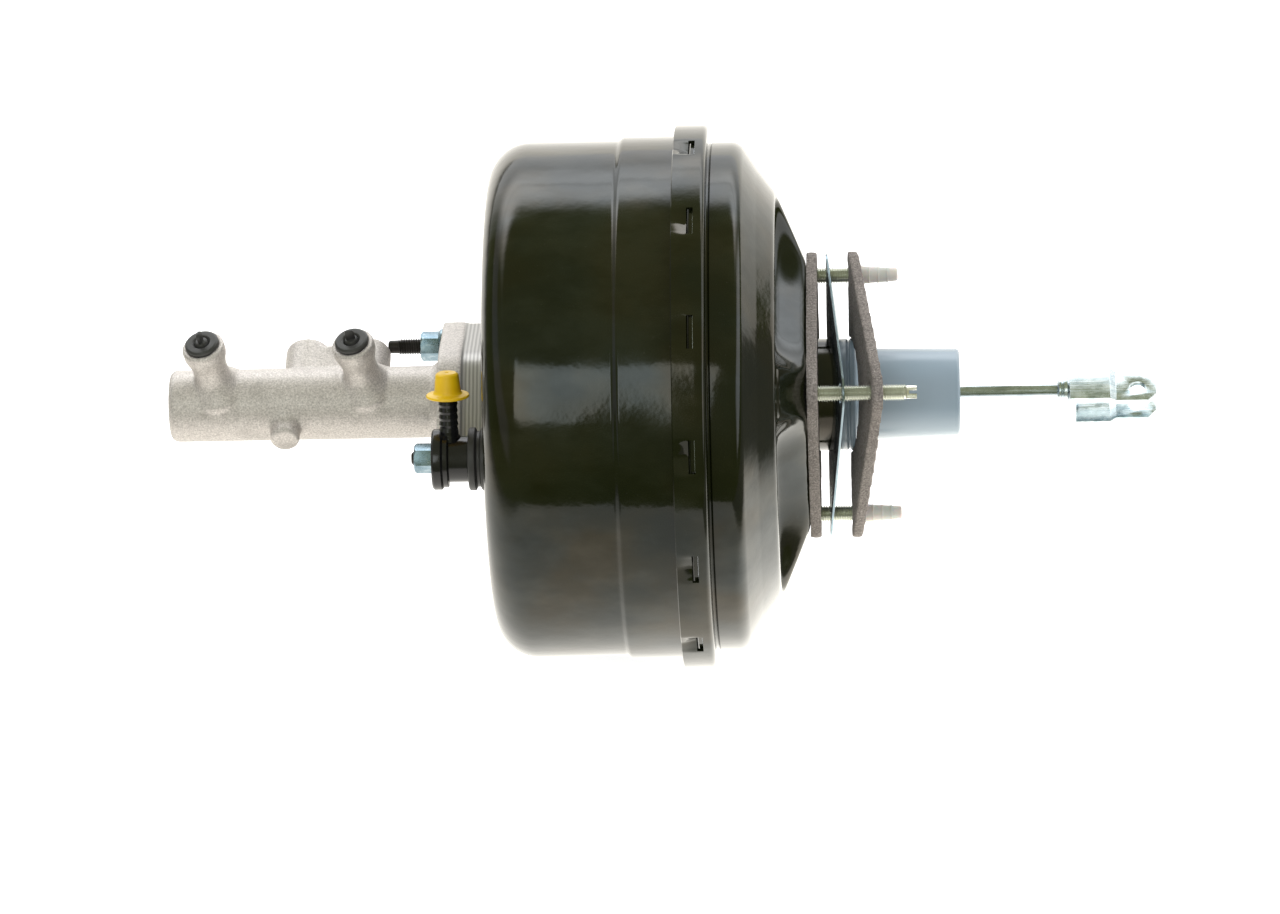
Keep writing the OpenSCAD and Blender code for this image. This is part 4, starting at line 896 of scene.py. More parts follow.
    def height(self, y: float, z: float) -> float:
        """Finds the place of the pressed face over a point of the dish.

        Args:
            y: Place across in mm.
            z: Place upwards in mm.

        Returns:
            The face's place along the booster in mm.
        """
        r = math.hypot(y, z)
        inner = self.floor_x + (RIDGE_X - self.floor_x) * smooth_step((r - self.floor_r) / self.floor_blend)
        base = smooth_min(inner, self.cone_x(r), self.ridge_blend)
        slope = (r - self.ramp_top_r) * RIDGE_X / (self.ridge_r - self.ramp_top_r)
        top = smooth_min(0.0, slope, self.ramp_blend)
        share = smooth_step(self.wall_start - self.outline(y, z) / self.wall_w)
        share *= 1 - smooth_step((r - self.ramp_end_r) / self.ramp_end_w)
        return base + (top - base) * share

    def dish(self) -> None:
        """The inner half of the cone, the ridge, the floor, the square pad on four ramps and the neck."""
        collar, count = self.collar_r, self.dish_rings
        line: list[Point] = [(self.seam_r - (self.seam_r - collar) * i / count, 0.0)
                             for i in range(count + 1)]
        line += softened([(collar, 0.0, 0), (self.neck_r, 0.0, self.neck_bend), (self.neck_r, NECK_X, 0)],
                         False, 5)[1:]
        bm = spun(line, self.dish_steps, False)
        for v in bm.verts:
            y, z = v.co.y / MM, v.co.z / MM
            if math.hypot(y, z) > collar - 0.1:
                v.co.x = self.height(y, z) * MM
        face_out(bm, Vector((-0.1, 0, 0)))
        self.walled(self.place("mounting_dish", bm, "black_coat", ["rear_shell"], sharp=60))


@dataclass
class FirewallStuds(Assembly):
    """The four mounting studs and the thread caps on three of them."""

    pitch_y: float = 42.0
    stud_r: float = 4.0
    root_r: float = 3.35
    dog_r: float = 3.3
    thread: float = 1.25
    head_r: float = 7.0
    head_x: Span = (-4.1, -1.6)
    spigot_r: float = 4.8
    short_l: float = 26.6
    far_l: float = 37.16
    long_l: float = 49.0
    cap_l: float = 19.0
    cap_end: float = 3.9
    cap_r: float = 4.55
    cap_taper: float = 0.27
    cap_rings: int = 3
    ring_pitch: float = 4.6
    ring_h: float = 0.18
    nose_gap: float = 4.0

    def stud(self, place: Matrix, length: float, nose: float) -> list[Shape]:
        """A stud: head, rolled thread and plain nose.

        Args:
            place: Where it stands.
            length: Length of its thread in mm.
            nose: Length of its nose in mm.

        Returns:
            Its shapes.
        """
        back, front = self.head_x
        corners = [(0, back, 0), (self.head_r, back, 0.4), (self.head_r, front, 0.2),
                   (self.spigot_r, front, 0.1), (self.spigot_r, -0.1, 0.2), (self.root_r, 0.2, 0),
                   (self.root_r, length - 0.4, 0.1), (self.dog_r - 0.1, length, 0.1)]
        if nose:
            corners += [(self.dog_r, length + nose - 0.2, 0.5), (self.dog_r - 0.7, length + nose, 0.2)]
        core = softened(corners + [(0, length + nose, 0)], False, 3)
        turns = threaded(self.root_r, self.stud_r, self.thread, 0.3, length - 0.3, place)
        return [spun(core, 48, False, place), turns]

    def slotted_nose(self) -> Shape:
        """Cuts the cross-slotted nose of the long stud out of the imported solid.

        Returns:
            The nose.
        """
        bm = node_copy("firewall_studs")
        for spot, way in (((self.long_l * MM, 0, 0), (1, 0, 0)), ((0, 0, 0), (0, -1, 1))):
            bmesh.ops.bisect_plane(bm, geom=bm.verts[:] + bm.edges[:] + bm.faces[:], plane_co=spot,
                                   plane_no=way, clear_inner=True)
        round_edges(bm, sharp_edges(bm, 40.0), 0.2, 2)
        return bm

    def build(self) -> None:
        """Builds the studs and their caps."""
        p, nose = self.pitch_y, self.cap_l - self.nose_gap
        spots = [(-p, p, self.long_l, 0.0), (p, p, self.short_l, nose), (-p, -p, self.short_l, nose),
                 (p, -p, self.far_l, nose)]
        parts: list[Shape] = []
        for y, z, length, tip in spots:
            parts += self.stud(at(0, y, z) @ BOOSTER, length, tip)
        self.place("mounting_studs", joined(parts), "olive_zinc", ["firewall_studs"], sharp=30)
        self.place("slotted_nose", self.slotted_nose(), "olive_zinc", ["firewall_studs"], BARE_STEEL, 30)
        caps = [self.cap(at(length, y, z) @ BOOSTER) for y, z, length, _ in spots[1:]]
        self.place("thread_caps", joined(caps), "cap_plastic", ["stud_caps"], sharp=40)

    def cap(self, place: Matrix) -> Shape:
        """A thin cap that tapers from its mouth, with small rings.

        Args:
            place: Where its mouth stands.

        Returns:
            The cap.
        """
        end, inner, mouth = self.cap_l, self.dog_r + 0.05, self.cap_r
        side = [(mouth, 0.1, 0.2), (mouth, 0.8, 0.2)]
        for k in range(1, self.cap_rings + 1):
            r, h = mouth - 0.1 - self.cap_taper * k, self.ring_pitch * k
            side += [(r, h - 0.5, 0.2), (r + self.ring_h, h - 0.25, 0.1), (r + self.ring_h, h + 0.25, 0.1),
                     (r - 0.1, h + 0.5, 0.2)]
        line = softened([(inner, 0.1, 0.1), *side, (3.3, end - 0.9, 0.5), (2.8, end, 0.4), (0, end, 0),
                         (0, end - self.cap_end, 0), (inner, end - self.cap_end, 0.2)], True, 3)
        return spun(line, 48, True, place)


@dataclass
class Mounting(Assembly):
    """The foam gaskets and the thin bowed plate between them."""

    voxel: float = 1.1
    pore_size: float = 1.6
    pore_depth: float = 0.12
    wave_size: float = 9.0
    wave_depth: float = 0.16

    def build(self) -> None:
        """Builds both gaskets with the edges of cut foam, and the plate with rounded edges."""
        for name in ("pad_gasket", "outer_gasket"):
            bm = evened(node_copy(name), self.voxel, 2)
            for v in bm.verts:
                pores = noise.noise(v.co * per(self.pore_size)) * self.pore_depth
                waves = noise.noise(v.co * per(self.wave_size)) * self.wave_depth
                v.co += v.normal * (pores + waves - self.pore_depth) * MM
            self.place(f"{name}_foam", bm, "gasket_foam", [name], sharp=60)
        plate = edged_copy("spring_plate", 0.18, 2, 40.0)
        self.place("bowed_plate", plate, "blue_steel", ["spring_plate"], sharp=30)


@dataclass
class Boot(Assembly):
    """The dust boot."""

    seat_gap: float = 0.05
    bore_r: float = 24.7
    lip_r: float = 26.3
    lip_l: float = 3.5
    flange_r: float = 28.0
    flange_w: float = 8.0
    groove_depth: float = 0.9
    body_r: float = 23.0
    end_r: float = 21.75
    end_x: float = 75.6
    hole_r: float = 7.6
    wall: float = 1.6

    def build(self) -> None:
        """Builds the boot: lip, double flange, tapering body, rolled mouth."""
        x0 = NECK_X + self.seat_gap
        f, end, w = x0 + self.flange_w, self.end_x, self.wall
        rim, groove = self.flange_r, self.flange_r - self.groove_depth
        line = softened([(self.bore_r, x0 - self.lip_l, 0.3), (self.lip_r, x0 - self.lip_l, 0.3),
                         (self.lip_r, x0, 0.2), (rim - 0.4, x0, 0.5), (rim, x0 + 3.2, 0.6),
                         (groove, x0 + 3.9, 0.5), (groove, x0 + 4.6, 0.5), (rim, x0 + 5.2, 0.6),
                         (rim - 0.3, f, 1.4), (self.body_r + 1.4, f, 1.0), (self.body_r, f + 1.4, 1.4),
                         (self.end_r, end - 1.0, 5.5), (self.end_r - 1.5, end, 4.0),
                         (self.hole_r + 0.4, end, 0.5), (self.hole_r, end - w, 0.5),
                         (self.end_r - w - 1, end - w, 3.5), (self.body_r - w, f - 1, 1.0),
                         (self.bore_r, x0 + 1.5, 0.8)], True, 7)
        self.place("dust_boot", spun(line, 160), "boot_rubber", ["boot"], sharp=50)


@dataclass
class PushRod(Assembly):
    """The push rod, its collar and the folded clevis."""

    body: str = "push_rod"
    rod_r: float = 3.7
    ball_r: float = 5.5
    ball_x: float = -17.0
    neck_x: float = -12.9
    seat_r: float = 10.6
    seat_x: float = 28.0
    seat_l: float = 4.0
    clevis_x: float = 116.0
    end_x: float = 136.0
    collar_x: float = 124.0
    collar_r: float = 6.5

    def build(self) -> None:
        """Builds the rod with its ball, the peened collar and the clevis."""
        turns = [math.radians(a) for a in range(0, 138, 6)]
        ball = [(self.ball_r * math.sin(a), self.ball_x - self.ball_r * math.cos(a)) for a in turns]
        rod, seat, end = self.rod_r, self.seat_x, self.end_x
        shaft = softened([(rod, self.neck_x, 0), (rod, seat, 0), (self.seat_r, seat, 0.3),
                          (self.seat_r, seat + 1.5, 0.3), (rod + 1.5, seat + self.seat_l, 0.4),
                          (rod, seat + self.seat_l, 0.3), (rod, self.clevis_x, 0), (rod, end - 0.4, 0.6),
                          (0, end, 0)], False, 3)
        self.place("push_rod_shaft", spun(ball + shaft, 64, False), "rod_zinc", ["push_rod"], sharp=30)
        c, r = self.collar_x, self.collar_r
        collar = softened([(rod, c, 0.2), (r - 2.0, c, 0.5), (r - 0.7, c + 0.9, 0.5), (r - 0.6, c + 2.0, 0.3),
                           (r - 1.5, c + 2.7, 0.4), (r - 0.3, c + 3.4, 0.3), (r, c + 5.1, 0.4),
                           (r - 0.5, c + 5.6, 0.2), (rod, c + 5.6, 0)], True, 4)
        self.place("peened_collar", spun(collar, 72), "clevis_zinc", ["collar_nut"], sharp=30)
        self.place("folded_clevis", edged_copy("clevis", 0.45, 3, 20.0), "clevis_zinc", ["clevis"], sharp=35)


@dataclass
class MasterCylinder(Assembly):
    """The cast cylinder with its studs, nuts, grommets and shipping plugs."""

    voxel: float = 0.95
    ear_y: float = 40.0
    tips: Span = (-212.0, -197.0)
    stud_r: float = 4.0
    root_r: float = 3.4
    dog_r: float = 3.3
    dog_l: float = 5.0
    thread: float = 1.25
    thread_end_x: float = -183.5
    head_r: float = 7.0
    head_x: Span = (-154.9, -152.4)
    port_x: Span = (-293.4, -218.8)
    port_lean: float = 9.0
    port_l: float = 42.0 / math.cos(math.radians(port_lean))
    hole_r: float = 3.75
    seat_r: float = 7.75
    seat_l: float = 8.5
    rim_r: float = 8.5
    plug_turns: Span = (80.0, 10.0)
    tab_size: Corner = (4.6, 1.6, 8.6)
    tab_corner: float = 1.6

    def build(self) -> None:
        """Builds the casting, the fasteners and what closes the ports."""
        casting = evened(node_copy("cylinder_casting"), self.voxel, 5)
        self.place("cylinder_body", casting, "cast_aluminium", ["cylinder_casting"], sharp=60)
        self.studs()
        nuts = edged_copy("flange_nuts", 0.3, 2, 20.0)
        self.place("flanged_nuts", nuts, "nut_zinc", ["flange_nuts"], sharp=30)
        self.ports()

    def studs(self) -> None:
        """The two studs: head, thread and chamfered dog nose."""
        front, back = self.head_x
        root, dog = self.root_r, self.dog_r
        parts = []
        for y, tip in zip((self.ear_y, -self.ear_y), self.tips):
            place = at(0, y, 0) @ BOOSTER
            start = tip + self.dog_l
            core = softened([(0, tip, 0), (dog - 0.8, tip, 0.3), (dog, tip + 0.9, 0.2),
                             (dog, start - 0.4, 0.2), (root, start, 0), (root, front, 0),
                             (self.head_r, front, 0.2), (self.head_r, back, 0.4), (0, back, 0)], False, 3)
            turns = threaded(root, self.stud_r, self.thread, start, self.thread_end_x, place)
            parts += [spun(core, 40, False, place), turns]
        self.place("cylinder_fixings", joined(parts), "black_steel", ["cylinder_studs"], sharp=30)

    def port(self, x: float) -> Matrix:
        """The frame of a reservoir neck."""
        return at(x) @ Matrix.Rotation(math.radians(-self.port_lean), 4, "Y")

    def ports(self) -> None:
        """The rubber grommets in the necks and the plugs in them."""
        top, hole, seat, rim = self.port_l, self.hole_r, self.seat_r, self.rim_r
        foot = top - self.seat_l
        ring = softened([(hole, foot, 0.3), (seat, foot, 0.5), (seat, top + 0.05, 0.2),
                         (rim, top + 0.05, 0.2), (rim, top + 1.7, 0.5), (rim - 1.0, top + 2.4, 0.5),
                         (hole + 0.9, top + 2.4, 0.5), (hole, top + 1.5, 0.5)], True, 4)
        self.place("neck_grommets", joined(spun(ring, 64, True, self.port(x)) for x in self.port_x),
                   "grommet_rubber", ["reservoir_grommets"])
        stem = softened([(0, top - 6, 0), (hole - 0.8, top - 6, 0.4), (hole - 0.05, top - 5, 0.4),
                         (hole - 0.05, top + 1.4, 0.5), (hole - 0.9, top + 3, 0.8), (0, top + 3.4, 0)],
                        False, 4)
        parts = []
        for x, turn in zip(self.port_x, self.plug_turns):
            place = self.port(x) @ Matrix.Rotation(math.radians(turn), 4, "Z")
            parts += [spun(stem, 40, False, place), self.tab(place)]
        self.place("shipping_plugs", joined(parts), "plug_rubber", ["port_plugs"])

    def tab(self, place: Matrix) -> Shape:
        """The flat pull tab of a plug, with a rounded top and soft edges.

        Args:
            place: The frame of its plug.

        Returns:
            The tab.
        """
        _, thick, tall = self.tab_size
        foot = self.port_l
        bm = bmesh.new()
        bmesh.ops.create_cube(bm, size=1.0)
        bmesh.ops.scale(bm, vec=Vector(self.tab_size) * MM, verts=bm.verts)
        bmesh.ops.translate(bm, vec=Vector((0, 0, foot + tall / 2)) * MM, verts=bm.verts)
        top = [e for e in bm.edges if abs(e.verts[0].co.y - e.verts[1].co.y) > (thick - 0.1) * MM
               and max(v.co.z for v in e.verts) > (foot + tall - 0.6) * MM]
        round_edges(bm, top, self.tab_corner, 5, False)
        round_edges(bm, [e for e in bm.edges if e.calc_face_angle(0) > 1.0], 0.3, 2, False)
        bm.transform(place)
        return bm


@dataclass
class CheckValve(Assembly):
    """The vacuum check valve, its grommet and the yellow cap on its nozzle."""

    # The housing, with the chamber for the disc
    y: float = -64.0
    z: float = 23.0
    front_x: float = -184.0
    seat_x: float = -168.5
    wall: float = 3.0
    inner_r: float = 9.05
    groove: Span = (9.6, 11.0)
    rim_r: float = 15.0
    body_r: float = 13.8
    waist_r: float = 11.25
    stem_r: float = 8.05
    hook_r: float = 9.45
    hook_x: float = -151.4
    stem_end_x: float = -145.9
    duct_r: float = 6.45
    valve_seat_r: float = 5.05
    # The grommet
    grommet_x: float = -166.0
    grommet_r: float = 15.5
    grommet_waist_r: float = 13.7
    grommet_bore_r: float = 8.1
    panel_hole_r: float = 12.2
    panel_t: float = 1.6
    bead_r: float = 13.6
    # The nozzle and its cap
    nozzle_x: float = -175.5
    nozzle_angle: float = 60.0
    nozzle_r: float = 4.75
    nozzle_l: float = 42.0
    nozzle_bore_r: float = 3.15
    root_r: float = 5.6
    root_l: float = 9.6
    barbs: int = 6
    barb_x: float = 14.6
    barb_pitch: float = 3.4
    barb_h: float = 0.4
    brim_r: float = 10.75
    hat_r: float = 6.5
    pip_r: float = 0.9

    def build(self) -> None:
        """Builds the valve, its grommet and the shipping cap."""
        here = at(0, self.y, self.z) @ BOOSTER
        tilt = Matrix.Rotation(math.radians(self.nozzle_angle - 90), 4, "X")
        nozzle = at(self.nozzle_x, self.y, self.z) @ tilt
        parts = [spun(self.housing(), 112, False, here), spun(self.tube(), 72, False, nozzle)]
        self.place("valve_housing", joined(parts), "valve_plastic", ["check_valve_body"], sharp=40)
        ring = spun(self.grommet(), 112, True, here)
        self.place("valve_grommet", ring, "grommet_rubber", ["check_valve_grommet"])
        cap = spun(self.hose_cap(), 72, True, nozzle)
        self.place("nozzle_cap", cap, "yellow_plastic", ["hose_cap"], sharp=40)

    def housing(self) -> list[Point]:
        """Draws the housing: face with a ring groove, rim, waist, hooked stem, valve seat and chamber.

        Returns:
            Its outline.
        """
        f, g, s, end, w = self.front_x, self.grommet_x - 0.05, self.seat_x, self.stem_end_x, self.wall
        (a, b), rim, body, waist = self.groove, self.rim_r, self.body_r, self.waist_r
        stem, hook, duct, seat = self.stem_r, self.hook_r, self.duct_r, self.valve_seat_r
        return softened([(0, f, 0), (a - 0.2, f, 0.3), (a, f + 0.5, 0.3), (b, f + 0.5, 0.3),
                         (b + 0.2, f, 0.3), (rim - 0.8, f, 0.6), (rim, f + 1.0, 0.6), (rim, f + 4.6, 0.5),
                         (body, f + 5.5, 0.4), (body, f + 8.0, 0.5), (waist, f + 8.0, 0.6), (waist, g, 0.3),
                         (stem, g, 0.2), (stem, self.hook_x, 0.3), (hook, self.hook_x + 1.0, 0.3),
                         (hook - 2.4, end, 0.3), (duct, end, 0.2), (duct, s + w, 0), (seat, s + w, 0),
                         (seat, s, 0), (self.inner_r, s, 0), (self.inner_r, f + w, 0), (0, f + w, 0)],
                        False, 4)

    def tube(self) -> list[Point]:
        """Draws the nozzle: root, barbs, tip and bore.

        Returns:
            Its outline.
        """
        r, end, bore, root = self.nozzle_r, self.nozzle_l, self.nozzle_bore_r, self.root_l
        barbs: list[Corner] = []
        for k in range(self.barbs):
            h = self.barb_x + self.barb_pitch * k
            barbs += [(r, h, 0.3), (r - self.barb_h, h + 2.0, 0.3)]
        return softened([(0, root, 0), (self.root_r, root, 0), (self.root_r, root + 2.0, 0.5),
                         (r, root + 3.3, 0.4), *barbs, (r - 0.05, end - 5.5, 0.3), (r, end - 2.4, 0.6),
                         (r - 1.0, end, 0.4), (bore, end, 0.3), (bore, root + 4.4, 0), (0, root + 4.4, 0)],
                        False, 3)

    def grommet(self) -> list[Point]:
        """Draws the grommet: two rims with a waist, and the bead behind the shell.

        Returns:
            Its outline.
        """
        g, rim, waist, bore = self.grommet_x, self.grommet_r, self.grommet_waist_r, self.grommet_bore_r
        hole, inside = self.panel_hole_r, FRONT_FACE_X + self.panel_t
        return softened([(bore, g, 0.2), (rim - 0.6, g, 0.5), (rim, g + 0.7, 0.5), (rim, g + 3.3, 0.5),
                         (waist, g + 4.2, 0.5), (waist, g + 5.6, 0.5), (rim, g + 6.4, 0.5),
                         (rim, FRONT_FACE_X, 0.2), (hole, FRONT_FACE_X, 0), (hole, inside, 0),
                         (self.bead_r, inside, 0.4), (self.bead_r - 1.0, inside + 3.0, 0.4),
                         (bore, inside + 3.0, 0.2)], True, 4)

    def hose_cap(self) -> list[Point]:
        """Draws the shipping cap: a thin hat with a brim and a moulding pip.

        Returns:
            Its outline.
        """
        base, top, end = self.nozzle_l - 10.4, self.nozzle_l + 2.0, self.nozzle_l + 0.1
        inner, brim, hat, pip = self.nozzle_r + 0.05, self.brim_r, self.hat_r, self.pip_r
        return softened([(inner, base, 0.1), (brim - 0.5, base, 0.3), (brim, base + 0.6, 0.3),
                         (brim - 0.4, base + 1.4, 0.3), (hat + 0.7, base + 1.9, 1.2), (hat, base + 3.2, 0.8),
                         (hat - 0.8, top - 0.9, 1.2), (hat - 2.1, top, 0.6), (pip, top, 0.2),
                         (pip - 0.2, top - 0.3, 0.1), (0, top - 0.3, 0), (0, end, 0),
                         (inner - 1.0, end, 0.2), (inner, self.nozzle_l - 1.95, 0.2)], True, 4)


@dataclass(frozen=True)
class CoilSpring:
    """A packed coil spring that shortens along the booster as the piece that it bears on moves."""

    node: str
    joint: str
    fixed_x: float
    travel: float

    def shorten(self) -> None:
        """Gives the spring a mesh of its own and logs the share of its length that it would keep."""
        coil = frame["nodes"][self.node]
        places = [v.co.x / MM for v in coil.data.vertices]
        keep = 1 - self.travel / (max(places) - min(places))
        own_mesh(coil)
        log.info("spring %s keeps %.2f of its length", self.node, keep)


# Each spring with its joint, the place of the end that stays with its body, and how far it shortens in mm
SPRINGS = (CoilSpring("return_spring", "piston_slide", -154.8, 30.0),
           CoilSpring("secondary_spring", "secondary_slide", -313.9, 15.0),
           CoilSpring("primary_spring", "primary_slide", -207.1, 15.0),
           CoilSpring("rod_spring", "plunger_slide", 8.3, 1.5),
           CoilSpring("check_valve_spring", "disc_slide", -180.9, 2.5))


def dress_frame() -> None:
    """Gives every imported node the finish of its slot."""
    parts = frame["record"].get("subparts", [])
    slots = {s["node"]: s.get("material_slot") or s.get("material") for s in parts}
    for name, obj in frame["nodes"].items():
        found = [FINISHES[m.material.name.split(".")[0]] for m in obj.material_slots
                 if m.material and m.material.name.split(".")[0] in FINISHES]
        finish = found[0] if found else FINISHES.get(slots.get(name, ""), ZINC_SHEET)
        for slot in obj.material_slots:
            slot.material = finish.material()
        log.info("node %s: %s", name, finish.name)


@dataclass
class Studio:
    """A white light table with cards round it, a strip lamp beside the camera, and a dim room."""

    # The table: its place, how it looks, and the light that it sends to the object
    floor_z: float = -0.1362
    table: Edges = (-1.1, 2.4, -3.0, 2.6)
    table_white: str = "#F6F6F6"
    under_light: float = 0.8
    far_light: float = 1.3
    near_light: float = 1.65
    hot_light: float = 3.0
    dim_light: float = 0.3
    table_tint: Corner = (1.0, 0.97, 0.90)
    depth_y: Span = (-0.60, -0.20)
    hot_spot: Point = (0.16, -0.06)
    hot_fade: Span = (0.32, 0.10)
    end_slant: float = -2.0
    right_end: Span = (0.36, 0.18)
    left_end: Span = (-0.95, -0.45)
    # The card behind the object, with edges as parts of the direction in which it is seen
    card_light: float = 3.8
    low_light: float = 1.5
    card_tint: Corner = (0.99, 1.0, 1.02)
    card_x: Edges = (-0.80, -0.50, 0.50, 0.80)
    card_y: Span = (-0.30, 0.10)
    card_z: Span = (0.70, 0.54)
    card_fade: Span = (0.11, 0.42)
    seam_z: Edges = (0.37, 0.40, 0.41, 0.44)
    seam_share: float = 0.35
    # The cards at the left and the right, and the walls of the room
    left_light: float = 0.5
    left_x: Span = (-0.5, -0.75)
    left_z: Edges = (0.14, 0.20, 0.40, 0.48)
    right_light: float = 2.2
    right_x: Span = (0.70, 0.86)
    right_z: Edges = (0.06, 0.14, 0.45, 0.55)
    room_light: float = 0.62
    wall_z: Span = (0.10, 0.60)
    wall_low: Colour = (0.20, 0.22, 0.11, 1.0)
    wall_high: Colour = (0.36, 0.37, 0.22, 1.0)
    # What the lamps look at, and the tint of the strip lamp
    aim: Corner = (-0.07, 0.0, 0.0)
    strip_tint: Corner = (0.94, 1.0, 1.02)
    # The camera, fitted to measured points of the photograph
    distance: float = 3.203
    lens: float = 180.2
    sensor: float = 36.0
    yaw: float = 2.39
    roll: float = 1.0
    middle_x: float = -84.2
    drop: float = 29.5

    def build(self) -> None:
        """Builds the table, the world, the lamps and the camera."""
        self.floor()
        self.world()
        self.lamp("key", (-0.5, -0.9, 2.2), (1.6, 1.6), 12.0)
        self.lamp("rim", (0.7, 1.3, 1.5), (1.2, 1.2), 7.0)
        self.lamp("strip", (-0.9, -2.70, 2.95), (1.2, 1.75), 16.0, True)
        self.camera()

    def floor(self) -> None:
        """The light table: white to the eye, and bright in what it lights."""
        x0, x1, y0, y1 = self.table
        bm = bmesh.new()
        bmesh.ops.create_grid(bm, x_segments=1, y_segments=1, size=0.5)
        bmesh.ops.scale(bm, vec=(x1 - x0, y1 - y0, 1), verts=bm.verts)
        bmesh.ops.translate(bm, vec=((x0 + x1) / 2, (y0 + y1) / 2, self.floor_z), verts=bm.verts)
        mesh = bpy.data.meshes.new("floor")
        bm.to_mesh(mesh)
        bm.free()
        made = bpy.data.materials.new("white_light_table")
        made.use_nodes = True
        tree = made.node_tree
        tree.nodes.clear()
        glow = add(tree, "ShaderNodeEmission", {"Color": self.table_glow(tree), "Strength": 1.0})
        white = add(tree, "ShaderNodeBsdfDiffuse", {"Color": linear(self.table_white)})
        under = add(tree, "ShaderNodeEmission", {"Color": tinted(1.0), "Strength": self.under_light})
        seen = add(tree, "ShaderNodeAddShader", {0: white.outputs[0], 1: under.outputs[0]})
        eye = add(tree, "ShaderNodeLightPath").outputs["Is Camera Ray"]
        both = add(tree, "ShaderNodeMixShader", {0: eye, 1: glow.outputs[0], 2: seen.outputs[0]})
        add(tree, "ShaderNodeOutputMaterial", {"Surface": both.outputs[0]})
        mesh.materials.append(made)
        obj = bpy.data.objects.new("floor", mesh)
        bpy.context.scene.collection.objects.link(obj)

    def table_glow(self, tree: Tree) -> Socket:
        """Shapes the table's light on the object: brightest below its rear, and dim towards both ends.

        Args:
            tree: The table's nodes.

        Returns:
            The light's colour.
        """
        mask, mixed = Finish.mask, Finish.mixed
        place = add(tree, "ShaderNodeTexCoord").outputs["Object"]
        parts = add(tree, "ShaderNodeSeparateXYZ", {"Vector": place})
        x, y = parts.outputs["X"], parts.outputs["Y"]
        depth = add(tree, "ShaderNodeMath", {0: y, 1: 0.0}, operation="MAXIMUM").outputs[0]
        slant = add(tree, "ShaderNodeMath", {0: depth, 1: self.end_slant, 2: x}, operation="MULTIPLY_ADD")
        right = mask(tree, slant.outputs[0], *self.right_end)
        ends = Finish.maths(tree, "MULTIPLY", right, mask(tree, x, *self.left_end))
        middle = (*self.hot_spot, self.floor_z)
        away = add(tree, "ShaderNodeVectorMath", {0: place, 1: middle}, operation="DISTANCE").outputs["Value"]
        levels = (self.far_light, self.near_light, self.hot_light, self.dim_light)
        far, near, bright, dim = (tinted(level, self.table_tint) for level in levels)
        level = mixed(tree, mask(tree, y, *self.depth_y), far, near)
        return mixed(tree, mask(tree, away, *self.hot_fade), mixed(tree, ends, dim, level), bright)

    @staticmethod
    def window(tree: Tree, value: Socket, edges: Edges) -> Socket:
        """Lets a value through between two soft edges, each with its start and its end."""
        opening = Finish.mask(tree, value, edges[0], edges[1])
        return Finish.maths(tree, "MULTIPLY", opening, Finish.mask(tree, value, edges[3], edges[2]))

    def world(self) -> None:
        """White to the eye; for light a dim room with a card behind the object and one at each side."""
        mask, mixed = Finish.mask, Finish.mixed
        world = bpy.data.worlds.new("studio")
        bpy.context.scene.world = world
        world.use_nodes = True
        tree = world.node_tree
        tree.nodes.clear()
        path = add(tree, "ShaderNodeLightPath")
        direction = add(tree, "ShaderNodeTexCoord").outputs["Generated"]
        way = add(tree, "ShaderNodeSeparateXYZ", {"Vector": direction})
        x, y, z = (way.outputs[k] for k in "XYZ")
        walls = mixed(tree, mask(tree, z, *self.wall_z), self.wall_low, self.wall_high)
        light = mixed(tree, path.outputs["Is Glossy Ray"], tinted(self.room_light), walls)
        sides = ((self.left_light, self.left_x, self.left_z), (self.right_light, self.right_x, self.right_z))
        for level, span, edges in sides:
            shows = Finish.maths(tree, "MULTIPLY", mask(tree, x, *span), self.window(tree, z, edges))
            light = mixed(tree, shows, light, tinted(level))
        low, card = (tinted(level, self.card_tint) for level in (self.low_light, self.card_light))
        sheet = mixed(tree, mask(tree, z, *self.card_fade), low, card)
        seam = Finish.maths(tree, "MULTIPLY", self.window(tree, z, self.seam_z), self.seam_share)
        tall = Finish.maths(tree, "MULTIPLY", mask(tree, z, *self.card_z), mask(tree, y, *self.card_y))
        behind = Finish.maths(tree, "MULTIPLY", self.window(tree, x, self.card_x), tall)
        light = mixed(tree, behind, light, mixed(tree, seam, sheet, low))
        for ray in ("Is Camera Ray", "Is Transmission Ray"):
            light = mixed(tree, path.outputs[ray], light, tinted(1.0))
        shine = add(tree, "ShaderNodeBackground", {"Color": light, "Strength": 1.0})
        add(tree, "ShaderNodeOutputWorld", {"Surface": shine.outputs[0]})

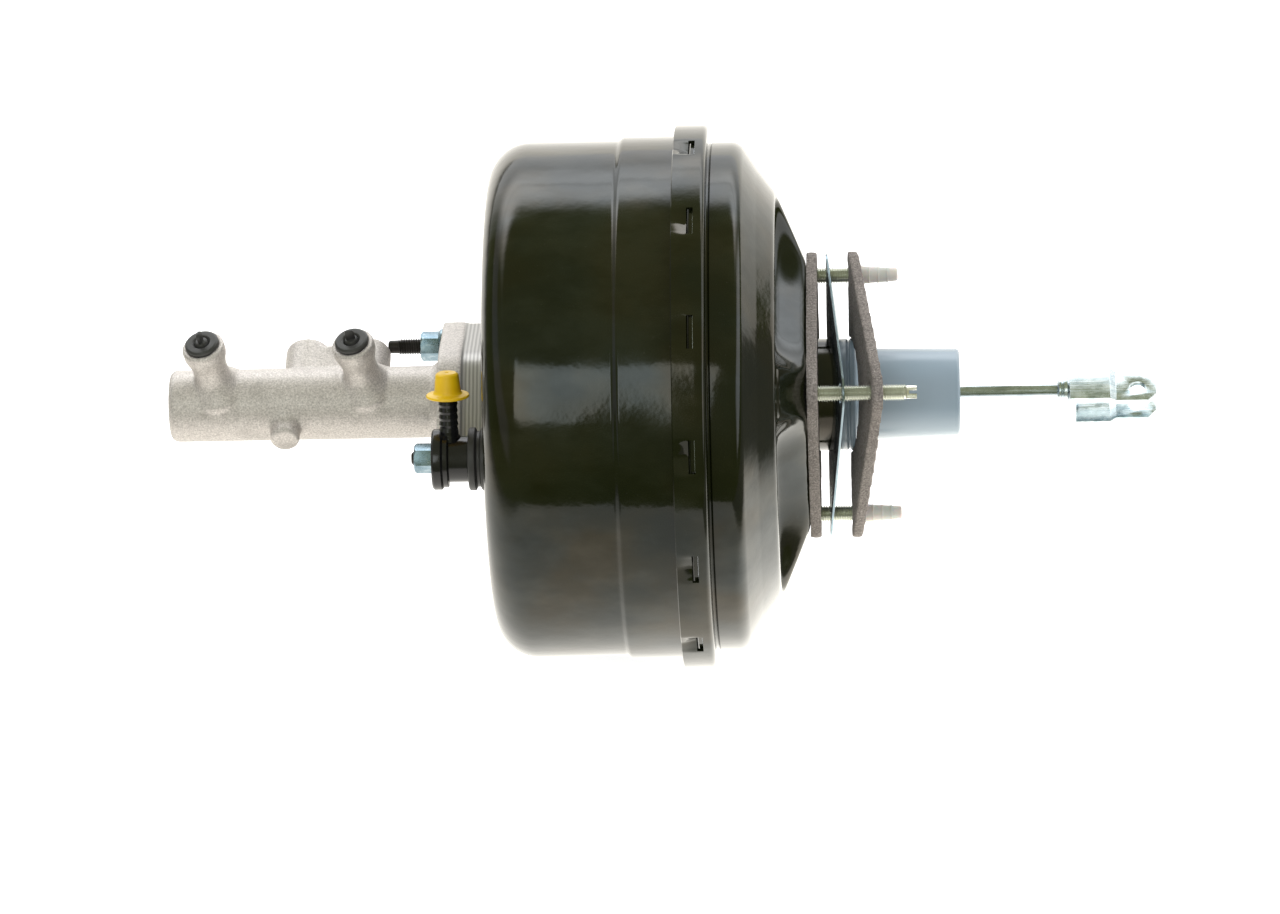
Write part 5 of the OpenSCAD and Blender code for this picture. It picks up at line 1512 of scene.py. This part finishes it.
    def lamp(self, name: str, place: Corner, size: Span, power: float, shows: bool = False) -> None:
        """A soft lamp that looks at the object.

        Args:
            name: Its name.
            place: Where it stands in metres.
            size: Its width and height in metres.
            power: Its power in watts.
            shows: Whether glossy faces show it, as they do the strip.
        """
        data = bpy.data.lights.new(name, "AREA")
        data.shape = "RECTANGLE"
        data.size, data.size_y = size
        data.energy = power
        data.color = self.strip_tint if shows else (1.0, 1.0, 1.0)
        obj = bpy.data.objects.new(name, data)
        obj.location = place
        obj.rotation_euler = (Vector(self.aim) - Vector(place)).to_track_quat("-Z", "Y").to_euler()
        obj.visible_glossy = shows
        obj.visible_camera = False
        bpy.context.scene.collection.objects.link(obj)

    def camera(self) -> None:
        """The camera at the photograph's view, halfway between the side and the top of the booster."""
        yaw, roll = math.radians(self.yaw), math.radians(self.roll)
        half = math.sqrt(0.5)
        along, out, up = Vector((1, 0, 0)), Vector((0, -half, half)), Vector((0, half, half))
        side = math.cos(yaw) * along - math.sin(yaw) * out
        back = math.sin(yaw) * along + math.cos(yaw) * out
        right = math.cos(roll) * side - math.sin(roll) * up
        head = math.sin(roll) * side + math.cos(roll) * up
        target = Vector((self.middle_x * MM, 0, 0)) - head * self.drop * MM
        data = bpy.data.cameras.new("camera")
        data.lens = self.lens
        data.sensor_width = self.sensor
        data.clip_start = 0.05
        data.clip_end = 50.0
        obj = bpy.data.objects.new("camera", data)
        turn = Matrix((right, head, back)).transposed().to_4x4()
        obj.matrix_world = Matrix.Translation(target + back * self.distance) @ turn
        bpy.context.scene.collection.objects.link(obj)
        bpy.context.scene.camera = obj


def main() -> None:
    """Builds the scene."""
    logging.basicConfig(level=logging.INFO, format="%(message)s")
    dress_frame()
    for part in (Shells(), FirewallStuds(), Mounting(), Boot(), PushRod(), MasterCylinder(), CheckValve()):
        part.build()
        for piece in part.pieces:
            log.info("%s: %d faces", piece.name, len(piece.data.polygons))
    for spring in SPRINGS:
        spring.shorten()
    Studio().build()
    bpy.context.scene.view_settings.view_transform = "Standard"


if __name__ == "__main__":
    main()
